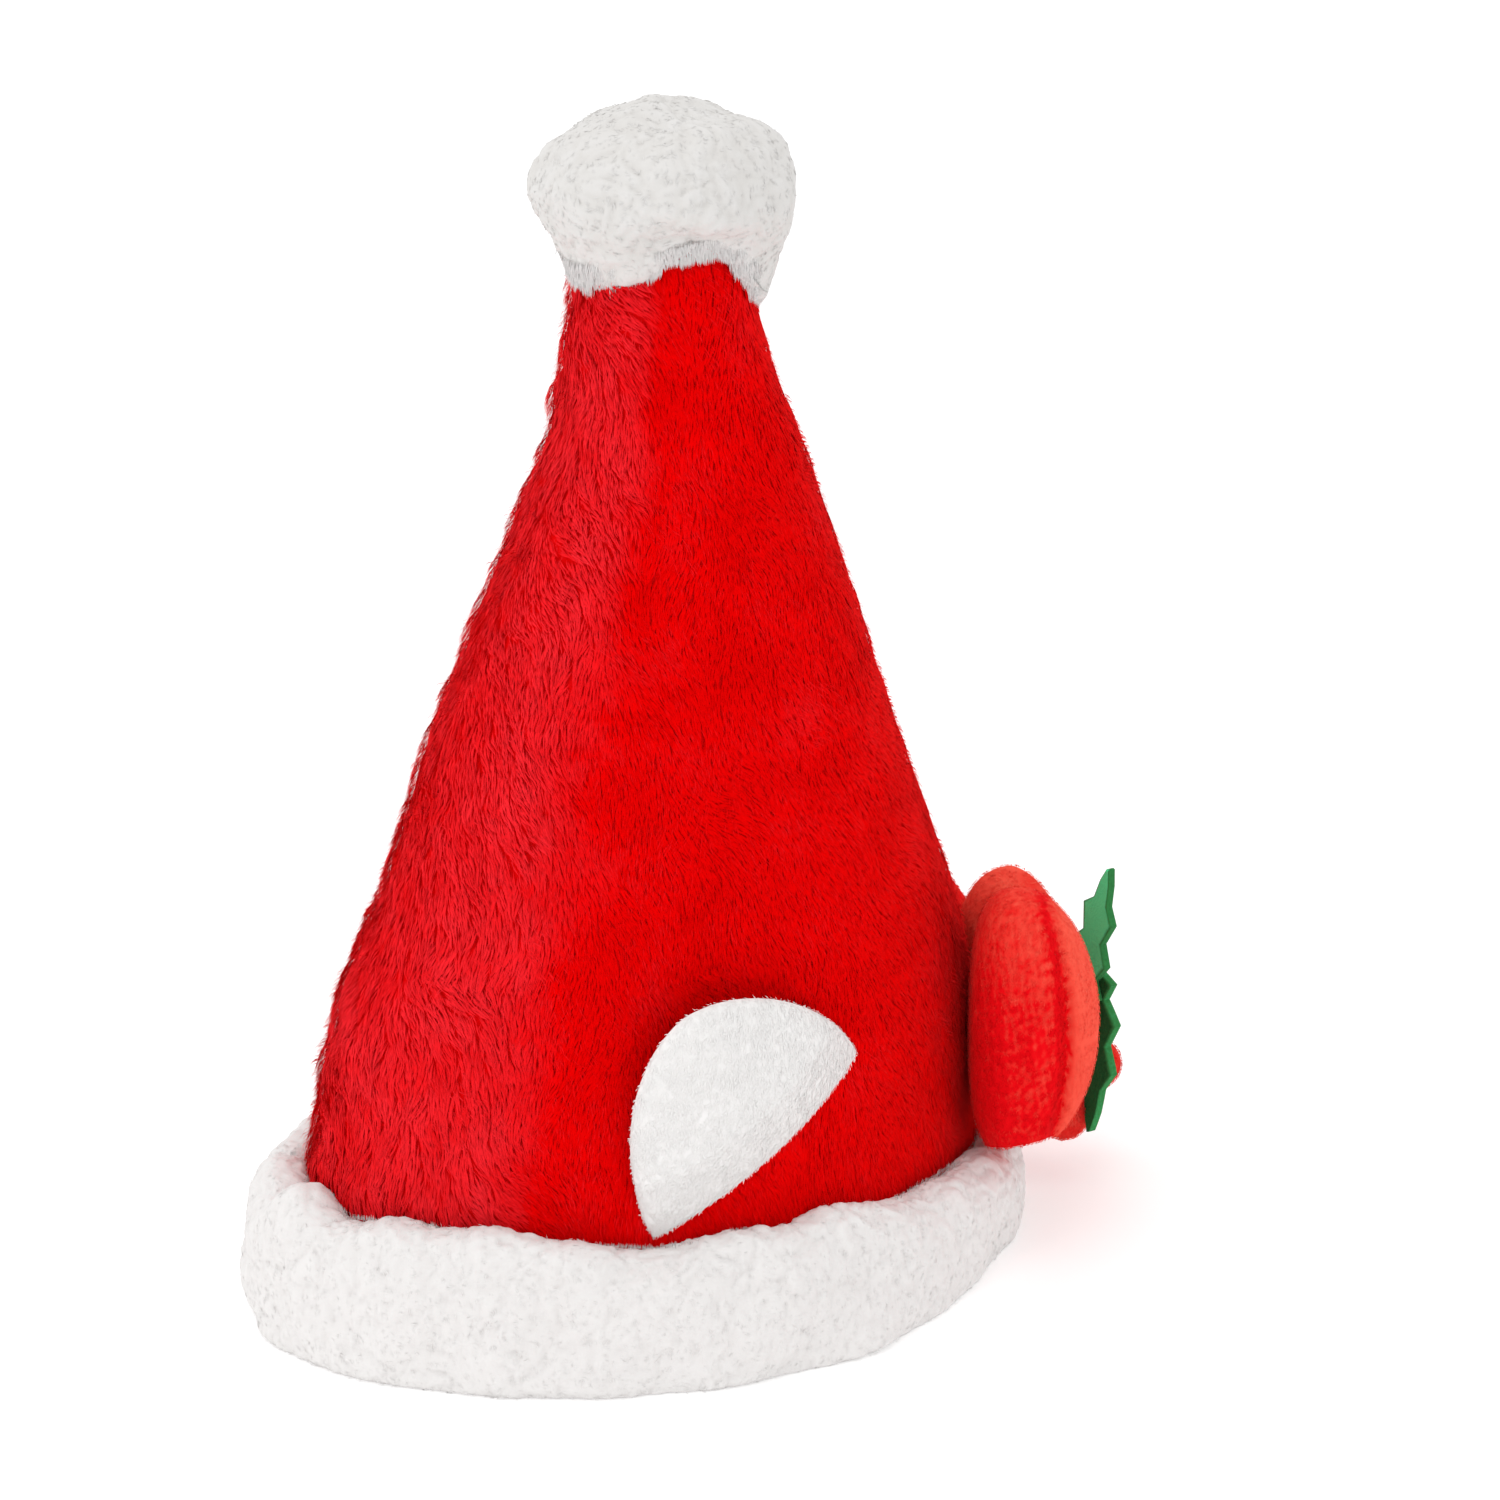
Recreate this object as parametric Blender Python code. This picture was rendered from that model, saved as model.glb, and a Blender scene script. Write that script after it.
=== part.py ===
"""Plush santa hat: a tall hollow crown with a padded band, a pompom, two padded ears,
and a stuffed bow with holly leaves and berries at the front.

Metres, +Z up. The hat stands on its band. Its front, where the bow is, faces -Y, and the
wearer's right is -X. While it is modelled, the head opening's middle is over the origin;
at the end the whole hat is moved so that the middle of its box is over the origin.
"""

import math

import bmesh
import bpy
import numpy as np

MM = 0.001

# Clearance between pieces that are sewn together
GAP = 0.35 * MM

# Corners round the crown; the band has twice as many, so that the two never cross
CROWN_CORNERS = 48

# Crown: reaches are measured from the head opening's middle
CROWN_TIP = 345 * MM
CROWN_FRONT = 117 * MM
CROWN_BACK = 108 * MM
CROWN_SIDE = 82 * MM
CROWN_WALL = 3 * MM
HEM_HEIGHT = 6 * MM
RIDGE = 3.5 * MM
DENT = 4 * MM

# Band: padded sherpa round the crown's hem
BAND_THICK_FRONT = 14 * MM
BAND_THICK_BACK = 21 * MM
BAND_HEIGHT_FRONT = 25 * MM
BAND_HEIGHT_SIDE = 40 * MM
BAND_HEIGHT_BACK = 47 * MM
BAND_LEAN = 0.40
BAND_SCALLOP = 0.035
CURL = 1.6 * MM
CURL_SPACING = 19 * MM

# Pompom: its top stands above the crown's tip, and its waist and hem hang below its top
POMPOM_LENGTH = 82 * MM
POMPOM_WIDTH = 76 * MM
POMPOM_TOP = 18 * MM
POMPOM_WAIST = 28 * MM
POMPOM_HEM_FRONT = 59 * MM
POMPOM_HEM_BACK = 50 * MM
POMPOM_HEM_SIDES = 37 * MM
POMPOM_HEM_THICK = 4 * MM
TUFT = 3.4 * MM
TUFTS = 90
POMPOM_CLEAR = 0.6 * MM

# Ears: padded half rounds, drawn on the crown's side as lengths along Y and up Z
EAR_LENGTH = 84 * MM
EAR_HEIGHT = 55 * MM
EAR_THICK = 10 * MM
EAR_SEAM_THICK = 0.42
EAR_TILT = 30.0
EAR_BACK = -1.0 * MM
EAR_ABOVE_BAND = 22 * MM
EAR_LIFT = 9 * MM
EAR_FULLNESS = 1.74

# Bow: a knot with a stuffed loop at each side
BOW_SIDEWAYS = -8 * MM
BOW_HEIGHT = 67 * MM
KNOT_WIDTH = 34 * MM
KNOT_DEPTH = 37 * MM
KNOT_HEIGHT = 72 * MM
KNOT_TOP_LESS = 0.6
LOOP_LENGTH = 60 * MM
LOOP_DEPTH = 39 * MM
LOOP_HEIGHT = 86 * MM
LOOP_TURN = 30.0
LOOP_BEHIND = 8 * MM
LOOP_ABOVE = 6 * MM
LOOP_RISE = 3 * MM
LOOP_CREASE = 5 * MM
LOOP_CREASE_FORWARD = 9 * MM
LOOP_CREASE_WIDTH = 4.5 * MM
LOOP_ROUNDNESS = 0.9
LOOP_BEND = 6 * MM
BOW_STAND_OFF = 2.5 * MM

# Holly: two felt leaves and two berries on the knot's front
LEAF_LENGTH = 52 * MM
LEAF_WIDTH = 25 * MM
LEAF_THICK = 2.6 * MM
LEAF_LOW_START = 11 * MM
LEAF_OVERLAP = 12 * MM
LEAF_SIDEWAYS = -7 * MM
LEAF_DROOP = 10 * MM
UPPER_LEAF_SIZE = 0.74
UPPER_LEAF_HEADING = 106.0
LOWER_LEAF_HEADING = 250.0
BERRY_RADIUS = 8.2 * MM

# Crown sections: height as a share of CROWN_TIP, reaches as shares of CROWN_FRONT,
# CROWN_BACK and CROWN_SIDE, and the power of the outline (2 is an ellipse, less is
# more like a diamond)
CROWN_SECTIONS = np.array([
    # height, front, back, side, power
    (0.00, 1.00, 0.99, 1.00, 1.75),
    (0.13, 1.00, 1.01, 0.91, 1.75),
    (0.22, 0.98, 0.955, 0.85, 1.80),
    (0.29, 0.94, 0.885, 0.79, 1.85),
    (0.38, 0.84, 0.75, 0.72, 1.90),
    (0.49, 0.71, 0.61, 0.63, 2.00),
    (0.59, 0.61, 0.47, 0.55, 2.00),
    (0.68, 0.51, 0.34, 0.48, 2.00),
    (0.75, 0.43, 0.22, 0.43, 2.00),
    (0.80, 0.37, 0.19, 0.38, 2.00),
    (0.85, 0.32, 0.18, 0.34, 2.00),
    (0.92, 0.28, 0.14, 0.29, 2.00),
    (0.96, 0.24, 0.09, 0.24, 2.00),
    (0.99, 0.15, 0.01, 0.14, 2.00),
    (1.00, 0.08, -0.07, 0.01, 2.00),
])

# Heights of the crown's rings, from its tip down, as shares of CROWN_TIP
CROWN_LEVELS = np.array([
    0.99, 0.98, 0.965, 0.945, 0.92, 0.89, 0.86, 0.83, 0.80, 0.77, 0.74, 0.70, 0.66,
    0.61, 0.56, 0.51, 0.46, 0.41, 0.36, 0.32, 0.29, 0.26, 0.23, 0.19, 0.15, 0.08,
])

# Folds of the crown: where round it (degrees from the front, by the wearer's right),
# height and spread up as shares of CROWN_TIP, spread round in degrees, and depth as a
# share of RIDGE (outward) or of DENT (inward, negative)
CROWN_FOLDS = np.array([
    # turn, height, spread_round, spread_up, depth
    (134.0, 0.50, 16.0, 0.50, 1.00),
    (226.0, 0.50, 16.0, 0.50, 1.00),
    (168.0, 0.27, 26.0, 0.05, 0.90),
    (100.0, 0.47, 15.0, 0.04, -0.50),
    (84.0, 0.40, 11.0, 0.04, -0.60),
    (272.0, 0.44, 16.0, 0.05, -0.70),
    (200.0, 0.66, 22.0, 0.05, -0.55),
])

# Bow loop, from the knot outwards: shares of LOOP_LENGTH, LOOP_HEIGHT and LOOP_DEPTH
LOOP_RINGS = (0.0, 0.05, 0.12, 0.22, 0.34, 0.47, 0.60, 0.72, 0.82, 0.90, 0.955, 0.99)
LOOP_SECTIONS = np.array([
    # along, height, depth
    (0.00, 0.34, 0.50),
    (0.10, 0.50, 0.64),
    (0.28, 0.78, 0.86),
    (0.50, 0.97, 1.00),
    (0.68, 1.00, 1.00),
    (0.84, 0.93, 0.86),
    (0.94, 0.76, 0.62),
    (0.99, 0.46, 0.34),
])

# Holly leaf's half outline, from its base to its tip: shares of LEAF_LENGTH and of half
# LEAF_WIDTH
LEAF_OUTLINE = np.array([
    # along, half_width
    (0.00, 0.30),
    (0.13, 1.00),
    (0.22, 0.58),
    (0.38, 1.00),
    (0.50, 0.52),
    (0.67, 0.82),
    (0.76, 0.36),
    (0.90, 0.24),
    (1.00, 0.05),
])


def clear_scene():
    """Removes whatever the scene holds."""
    for item in list(bpy.data.objects):
        bpy.data.objects.remove(item, do_unlink=True)


def material(name, colour, roughness):
    """A plain cloth finish."""
    made = bpy.data.materials.new(name)
    made.use_nodes = True
    shader = made.node_tree.nodes["Principled BSDF"]
    shader.inputs["Base Color"].default_value = (*colour, 1.0)
    shader.inputs["Roughness"].default_value = roughness
    shader.inputs["Metallic"].default_value = 0.0
    return made


def loft(name, rings, finish, start=None, end=None, closed=False):
    """A closed body through equal rings of points. start and end are the points that close
    its two ends; closed joins the last ring to the first instead."""
    bm = bmesh.new()
    loops = [[bm.verts.new(p) for p in ring] for ring in rings]
    count = len(loops[0])
    pairs = list(zip(loops, loops[1:]))
    if closed:
        pairs.append((loops[-1], loops[0]))
    for low, high in pairs:
        for i in range(count):
            j = (i + 1) % count
            bm.faces.new((low[i], low[j], high[j], high[i]))
    for point, ring in ((start, loops[0]), (end, loops[-1])):
        if point is not None:
            pole = bm.verts.new(point)
            for i in range(count):
                bm.faces.new((pole, ring[i], ring[(i + 1) % count]))
    bmesh.ops.recalc_face_normals(bm, faces=bm.faces)
    mesh = bpy.data.meshes.new(name)
    bm.to_mesh(mesh)
    bm.free()
    mesh.shade_smooth()
    mesh.materials.append(finish)
    body = bpy.data.objects.new(name, mesh)
    bpy.context.collection.objects.link(body)
    return body


def smooth(at, places, values):
    """A smooth curve through values at places: a cubic between each pair, with the slope
    at each place the mean of the slopes at its two sides, or level at a turn."""
    at = np.clip(np.asarray(at, float), places[0], places[-1])
    rise = np.diff(values) / np.diff(places)
    slope = np.concatenate([rise[:1], (rise[:-1] + rise[1:]) / 2, rise[-1:]])
    slope[1:-1] = np.where(rise[:-1] * rise[1:] <= 0, 0, slope[1:-1])
    i = np.clip(np.searchsorted(places, at, side="right") - 1, 0, len(rise) - 1)
    wide = places[i + 1] - places[i]
    s = (at - places[i]) / wide
    return (
        values[i] * (1 + 2 * s) * (1 - s) ** 2
        + slope[i] * wide * s * (1 - s) ** 2
        + values[i + 1] * s * s * (3 - 2 * s)
        + slope[i + 1] * wide * s * s * (s - 1)
    )


def signed_power(value, power):
    return np.sign(value) * np.abs(value) ** power


def crown_sizes(height):
    """The crown's section at a height: its middle's Y, half length, half width and power."""
    share = height / CROWN_TIP
    columns = CROWN_SECTIONS.T
    front = CROWN_FRONT * smooth(share, columns[0], columns[1])
    back = CROWN_BACK * smooth(share, columns[0], columns[2])
    side = CROWN_SIDE * smooth(share, columns[0], columns[3])
    power = smooth(share, columns[0], columns[4])
    return (back - front) / 2, (back + front) / 2, side, power


def crown_fold(turn, height):
    """How far the crown's folds stand out of, or into, its plain section."""
    total = 0
    for centre, level, round_spread, up_spread, depth in CROWN_FOLDS:
        away = (np.degrees(turn) - centre + 180) % 360 - 180
        up = height / CROWN_TIP - level
        size = RIDGE if depth > 0 else DENT
        total = total + size * depth * np.exp(
            -((away / round_spread) ** 2) - (up / up_spread) ** 2
        )
    fade = np.clip((1 - height / CROWN_TIP) / 0.2, 0, 1)
    rise = np.clip((height - BAND_HEIGHT_SIDE) / BAND_HEIGHT_SIDE, 0, 1)
    return total * fade * rise


def crown_point(turn, height, out=0.0):
    """A point out from the crown's outer face. turn is counted from the front, by the
    wearer's right; the section is a superellipse, pushed out by its folds."""
    turn, height = np.broadcast_arrays(turn, height)
    middle, long, side, power = crown_sizes(height)
    x = -side * signed_power(np.sin(turn), 2 / power)
    y = -long * signed_power(np.cos(turn), 2 / power)
    reach = np.hypot(x, y)
    grow = 1 + (crown_fold(turn, height) + out) / np.maximum(reach, 1e-6)
    return np.stack([x * grow, middle + y * grow, height], -1)


def crown_side(y, height):
    """How far the crown's plain section reaches sideways at a place along Y."""
    middle, long, side, power = crown_sizes(height)
    share = np.clip(np.abs(y - middle) / long, 0, 0.999)
    return side * (1 - share ** power) ** (1 / power)


def crown_front(x, height):
    """The Y of the crown's front face at a place sideways."""
    middle, long, side, power = crown_sizes(height)
    share = np.clip(np.abs(x) / side, 0, 0.999)
    return middle - long * (1 - share ** power) ** (1 / power)


def band_top(y):
    """The band's height: highest at the sides, and lowest at the front."""
    front = np.clip(-y / CROWN_FRONT, 0, 1) ** 1.5
    back = np.clip(y / CROWN_BACK, 0, 1) ** 1.5
    return (
        BAND_HEIGHT_SIDE
        + (BAND_HEIGHT_FRONT - BAND_HEIGHT_SIDE) * front
        + (BAND_HEIGHT_BACK - BAND_HEIGHT_SIDE) * back
    )


def band_thick(y):
    """The band's padding, thicker towards the back."""
    share = np.clip((y + CROWN_FRONT) / (CROWN_FRONT + CROWN_BACK), 0, 1)
    return BAND_THICK_FRONT + (BAND_THICK_BACK - BAND_THICK_FRONT) * share


def turns(count):
    return np.linspace(0, 2 * np.pi, round(count), endpoint=False)


def build_crown(finish):
    """Outer face from tip to hem, then the inner face back up."""
    around = turns(CROWN_CORNERS)
    outer_heights = np.append(CROWN_LEVELS * CROWN_TIP, HEM_HEIGHT)
    inner_heights = outer_heights[outer_heights < CROWN_TIP * 0.96][::-2]
    rings = [crown_point(around, h) for h in outer_heights]
    rings += [crown_point(around, h, -CROWN_WALL) for h in inner_heights]
    tip_middle = crown_sizes(CROWN_TIP)[0]
    inner_top = inner_heights[-1] + CROWN_WALL
    inner_middle = crown_sizes(inner_top)[0]
    return loft(
        "crown", rings, finish, (0, tip_middle, CROWN_TIP), (0, inner_middle, inner_top)
    )


def curls(turn, up):
    """Low curls of sherpa, from -1 to 1: two crossed waves that wander. up runs from 0 to
    1 over the piece."""
    length = np.pi * (CROWN_FRONT + CROWN_SIDE + BAND_THICK_FRONT)
    count = round(length / CURL_SPACING)
    first = np.sin(count * turn + 1.6 * np.sin(3 * turn)) * np.cos(6.5 * up + 2 * np.sin(5 * turn))
    second = np.sin((count + 9) * turn + 4 * up) * np.cos(4 * up - 7 * turn)
    return 0.6 * first + 0.4 * second


def build_band(finish):
    """A ring of D-shaped sections: flat below, a lip under the crown's hem, a straight
    inner face along the crown, and a padded outer face."""
    steps = 9
    rings = []
    for turn in turns(2 * CROWN_CORNERS):
        y = crown_point(turn, HEM_HEIGHT)[1]
        thick = band_thick(y)
        top = band_top(y) * (1 + BAND_SCALLOP * math.sin(11 * turn + 2 * math.sin(4 * turn)))
        rise = np.linspace(0, 1, steps)
        angle = np.radians(-38 + 128 * rise)
        out = thick * (BAND_LEAN + (1 - BAND_LEAN) * np.clip(np.cos(angle), 0, 1) ** 0.8)
        up = top * (np.sin(angle) - np.sin(angle[0])) / (1 - np.sin(angle[0]))
        swell = CURL * curls(turn, rise) * np.sin(np.pi * rise) ** 0.5
        lip = HEM_HEIGHT - GAP
        section = [(GAP, top * 0.93), (GAP, lip), (-CROWN_WALL, lip), (-CROWN_WALL, 0.0)]
        section += [(GAP + o + s, u) for o, s, u in zip(out, swell, up)]
        rings.append([crown_point(turn, max(u, HEM_HEIGHT), o) * (1, 1, 0) + (0, 0, u)
                      for o, u in section])
    return loft("band", rings, finish, closed=True)


def tuft_places(count):
    """Even directions over a ball, on a spiral that turns by the golden angle."""
    k = np.arange(count) + 0.5
    z = 1 - 2 * k / count
    turn = k * math.pi * (3 - math.sqrt(5))
    r = np.sqrt(1 - z * z)
    return np.stack([r * np.cos(turn), r * np.sin(turn), z], -1)


def tufts(direction):
    """How high the pompom's locks stand in a direction, from 0 between them to 1."""
    nearness = direction @ tuft_places(TUFTS).T
    wide = 2.1 / math.sqrt(TUFTS)
    return np.exp(-((np.arccos(np.clip(nearness.max(-1), -1, 1)) / wide) ** 2) * 2)


def build_pompom(finish):
    """A cap of locks over the tip: outer face from its top down to a hem that is higher at
    the hat's sides, then the face against the crown back up."""
    around = turns(40)
    end = math.radians(150)
    front = POMPOM_HEM_FRONT + (POMPOM_HEM_SIDES - POMPOM_HEM_FRONT) * np.sin(around) ** 6
    back = POMPOM_HEM_BACK + (POMPOM_HEM_SIDES - POMPOM_HEM_BACK) * np.sin(around) ** 2
    summit = CROWN_TIP + POMPOM_TOP
    waist = summit - POMPOM_WAIST
    hem = summit - np.where(np.cos(around) > 0, front, back)
    rings = []
    for share in np.linspace(0.06, 1, 18):
        angle = end * share
        if angle < math.pi / 2:
            height = waist + (POMPOM_WAIST - TUFT) * math.cos(angle)
            height = np.full(len(around), height)
        else:
            height = waist + (hem - waist) * math.cos(angle) / math.cos(end)
        middle = crown_sizes(np.minimum(height, CROWN_TIP))[0]
        x = -(POMPOM_WIDTH / 2 - TUFT) * math.sin(angle) * np.sin(around)
        y = -(POMPOM_LENGTH / 2 - TUFT) * math.sin(angle) * np.cos(around)
        direction = np.stack([x, y, np.full(len(around), math.cos(angle) * POMPOM_WIDTH / 2)], -1)
        direction /= np.linalg.norm(direction, axis=-1)[:, None]
        ball = np.stack([x, y + middle, height], -1)
        ball += direction * (TUFT * tufts(direction) * min(1, 6 * (1 - share)))[:, None]
        edge = crown_point(around, hem, POMPOM_HEM_THICK)
        rings.append(ball + (edge - ball) * share ** 12)
    neck = CROWN_LEVELS[3] * CROWN_TIP
    cavity = [hem + (neck - hem) * share for share in (0, 0.35, 0.7)]
    cavity += [np.full(len(around), level * CROWN_TIP) for level in CROWN_LEVELS[3::-1]]
    rings += [crown_point(around, h, POMPOM_CLEAR) for h in cavity]
    top = crown_sizes(CROWN_TIP)[0]
    return loft("pompom", rings, finish, (0, top, summit), (0, top, CROWN_TIP + POMPOM_CLEAR))


def ear_point(along, up, face, hand):
    """A point of a padded half round. along runs from -1 to 1 over the sewn edge and up
    from 0 to 1 away from it; face is 1 outside and -1 inside. The flap follows the crown's
    side and stands further off it towards its free edge."""
    tilt = math.radians(EAR_TILT)
    a, b = EAR_LENGTH / 2 * along, EAR_HEIGHT * up
    low_end = band_top(0) + EAR_ABOVE_BAND
    y = EAR_BACK - a * math.cos(tilt) + b * math.sin(tilt)
    z = low_end + a * math.sin(tilt) + b * math.cos(tilt)
    inside = np.clip(1 - np.abs(along) ** EAR_FULLNESS - up ** EAR_FULLNESS, 0, 1)
    plump = EAR_SEAM_THICK + (1 - EAR_SEAM_THICK) * np.clip(3 * up, 0, 1)
    thick = EAR_THICK * np.sqrt(inside) * plump
    off = GAP + RIDGE * np.clip(up * 3, 0, 1) + EAR_LIFT * up ** 2
    middle = off + thick / 2
    reach = crown_side(y, z) + middle + face * thick / 2
    return np.stack([-hand * reach, y, z], -1)


def build_ear(name, hand, finish):
    """hand is 1 on the wearer's right and -1 on the left."""
    rings = []
    for along in np.sin(np.linspace(-1, 1, 17) * np.pi / 2)[1:-1]:
        top = (1 - abs(along) ** EAR_FULLNESS) ** (1 / EAR_FULLNESS)
        up = top * np.sin(np.linspace(0, np.pi / 2, 9))
        outside = ear_point(along, up, 1, hand)
        inside = ear_point(along, up[:-1][::-1], -1, hand)
        rings.append(np.concatenate([outside, inside]))
    ends = [ear_point(np.float64(s), np.float64(0), 1, hand) for s in (-1.0, 1.0)]
    return loft(name, rings, finish, ends[0], ends[1])


def hat_front(x, z):
    """The Y of whatever the bow lies on: the crown, or the band with its curls."""
    crown = crown_front(x, z) - GAP
    top = band_top(crown) * 1.04
    out = BAND_THICK_FRONT + CURL + BOW_STAND_OFF
    up = np.clip((z - top) / BOW_STAND_OFF, 0, 1)
    share = 1 - up * up * (3 - 2 * up)
    hem = crown_front(x, np.minimum(z, BAND_HEIGHT_FRONT)) - out * 1.05
    return np.where(share > 0, crown + (np.minimum(hem, crown) - crown) * share, crown)


def rest_on_hat(points, gap):
    """Presses a soft piece flat where it would sink into the hat."""
    limit = hat_front(points[..., 0], points[..., 2]) - gap
    pressed = points.copy()
    pressed[..., 1] = np.minimum(points[..., 1], limit)
    return pressed


def above_band(points):
    """Presses a soft piece up where it would sink into the band's top."""
    top = band_top(crown_front(points[..., 0], points[..., 2]) - GAP) * 1.04
    pressed = points.copy()
    pressed[..., 2] = np.maximum(points[..., 2], top + BOW_STAND_OFF)
    return pressed


def knot_middle():
    back = float(crown_front(BOW_SIDEWAYS, BOW_HEIGHT))
    return np.array([BOW_SIDEWAYS, back - GAP - KNOT_DEPTH / 2, BOW_HEIGHT])


def build_knot(finish):
    """An upright stuffed roll, its back pressed against the crown."""
    around = turns(24)
    middle = knot_middle()
    rings = []
    for angle in np.radians(np.linspace(-80, 80, 11)):
        wide = math.cos(angle) ** 0.7
        less = KNOT_TOP_LESS * max(math.sin(angle), 0) ** 2
        x = KNOT_WIDTH / 2 * wide * signed_power(np.cos(around), 0.8)
        y = (KNOT_DEPTH / 2 + MM) * wide * signed_power(np.sin(around), 0.8)
        y *= np.where(y < 0, 1 - less, 1)
        z = np.full(len(around), KNOT_HEIGHT / 2 * math.sin(angle))
        rings.append(rest_on_hat(middle + np.stack([x, y, z], -1), GAP))
    tip = np.array([0, 0, KNOT_HEIGHT / 2])
    return loft("bow_knot", rings, finish, middle - tip, middle + tip)


def beside_knot(points, hand):
    """Presses a loop's inner end against the knot's side."""
    x, y, z = np.moveaxis(points - knot_middle(), -1, 0)
    up = np.clip(np.abs(z) / (KNOT_HEIGHT / 2), 0, 0.999)
    wide = (1 - up * up) ** 0.35
    share = np.clip(np.abs(y) / ((KNOT_DEPTH / 2 + MM) * wide), 0, 1)
    limit = KNOT_WIDTH / 2 * wide * (1 - share ** 2.5) ** 0.4 + GAP
    pressed = points.copy()
    pressed[..., 0] += np.where(-hand * x < limit, -hand * limit - x, 0)
    return pressed


def build_loop(name, hand, finish):
    """A stuffed loop that leaves the knot's side, turns back round the crown and has a
    crease down its end."""
    around = turns(28)
    turn = math.radians(LOOP_TURN)
    outward = np.array([-hand * math.cos(turn), math.sin(turn), 0])
    forward = np.array([-hand * math.sin(turn), -math.cos(turn), 0])
    start = knot_middle() + (-hand * (KNOT_WIDTH / 2 + GAP), LOOP_BEHIND, LOOP_ABOVE)
    columns = LOOP_SECTIONS.T
    rings = []
    for along in LOOP_RINGS:
        tall = LOOP_HEIGHT / 2 * smooth(along, columns[0], columns[1])
        deep = LOOP_DEPTH / 2 * smooth(along, columns[0], columns[2])
        front = deep * signed_power(np.cos(around), LOOP_ROUNDNESS)
        up = tall * signed_power(np.sin(around), LOOP_ROUNDNESS)
        groove = np.exp(-(((front - LOOP_CREASE_FORWARD) / LOOP_CREASE_WIDTH) ** 2))
        front -= LOOP_BEND * (up / (LOOP_HEIGHT / 2)) ** 2
        up += hand * LOOP_RISE * along
        out = LOOP_LENGTH * along - LOOP_CREASE * along ** 6 * groove
        ring = start + out[:, None] * outward + front[:, None] * forward
        ring += up[:, None] * (0, 0, 1)
        rings.append(beside_knot(rest_on_hat(above_band(ring), GAP + MM), hand))
    inner = beside_knot(start[None], hand)[0]
    end = start + (LOOP_LENGTH - LOOP_CREASE / 2) * outward + (0, 0, hand * LOOP_RISE)
    return loft(name, rings, finish, inner, end)


def leaf_point(leaf, along, across, front):
    """A point of a felt leaf. along runs from 0 at its base to 1 at its tip, across from -1
    to 1 over its width there, and front is 0 on the face towards the hat and 1 on the
    other. The leaf droops back along its length."""
    base, heading, wide, droop = leaf
    half = LEAF_WIDTH / 2 * wide * np.interp(along, *LEAF_OUTLINE.T)
    length = LEAF_LENGTH * along
    x = base[0] + length * math.cos(heading) - across * half * math.sin(heading)
    z = base[2] + length * math.sin(heading) + across * half * math.cos(heading)
    y = base[1] + droop * along ** 2 - LEAF_THICK * front + 0 * across
    return np.stack([x + 0 * y, y, z + 0 * y], -1)


def leaf_places():
    """Base, heading, width share and droop of the two leaves. The upper one lies on the
    knot's front, and the lower one over the upper one's base."""
    front = knot_middle() - (0, KNOT_DEPTH / 2 + MM + GAP, 0)
    upper_base = front + (LEAF_SIDEWAYS, 0, -LEAF_LOW_START)
    lower_base = upper_base + (0, -LEAF_THICK - 2 * GAP, LEAF_OVERLAP)
    return (
        (upper_base, math.radians(UPPER_LEAF_HEADING), UPPER_LEAF_SIZE, 0.0),
        (lower_base, math.radians(LOWER_LEAF_HEADING), 1.0, LEAF_DROOP),
    )


def build_leaf(name, leaf, finish):
    rings = []
    for along in LEAF_OUTLINE[:, 0]:
        rings.append([leaf_point(leaf, along, across, front)
                      for across, front in ((-1, 0), (0, 0), (1, 0), (1, 1), (0, 1), (-1, 1))])
    ends = [leaf_point(leaf, s, 0.0, 0.5) for s in (0.0, 1.0)]
    return loft(name, rings, finish, ends[0], ends[1])


def build_berry(name, middle, finish):
    bm = bmesh.new()
    bmesh.ops.create_uvsphere(bm, u_segments=14, v_segments=9, radius=BERRY_RADIUS)
    bmesh.ops.translate(bm, verts=bm.verts, vec=middle)
    mesh = bpy.data.meshes.new(name)
    bm.to_mesh(mesh)
    bm.free()
    mesh.shade_smooth()
    mesh.materials.append(finish)
    berry = bpy.data.objects.new(name, mesh)
    bpy.context.collection.objects.link(berry)
    return berry


def berry_places(lower):
    """The upper berry is sewn to the lower leaf's front edge, and the lower one beside the
    leaf's tip."""
    reach = BERRY_RADIUS + GAP
    upper = leaf_point(lower, 0.66, 1.0, 1.0) + reach * np.array([0.42, -0.91, 0])
    beside = leaf_point(lower, 0.92, 1.0, 0.5) + reach * np.array([0.98, 0.42, -0.12])
    return upper, beside


def stand_over_origin():
    """Moves the meshes so that the middle of the hat's box is over the origin."""
    bodies = list(bpy.context.collection.objects)
    points = np.concatenate([[v.co for v in b.data.vertices] for b in bodies])
    low, high = points.min(0), points.max(0)
    shift = np.array([(low[0] + high[0]) / 2, (low[1] + high[1]) / 2, low[2]])
    for body in bodies:
        for vertex in body.data.vertices:
            vertex.co -= type(vertex.co)(shift)


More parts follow.
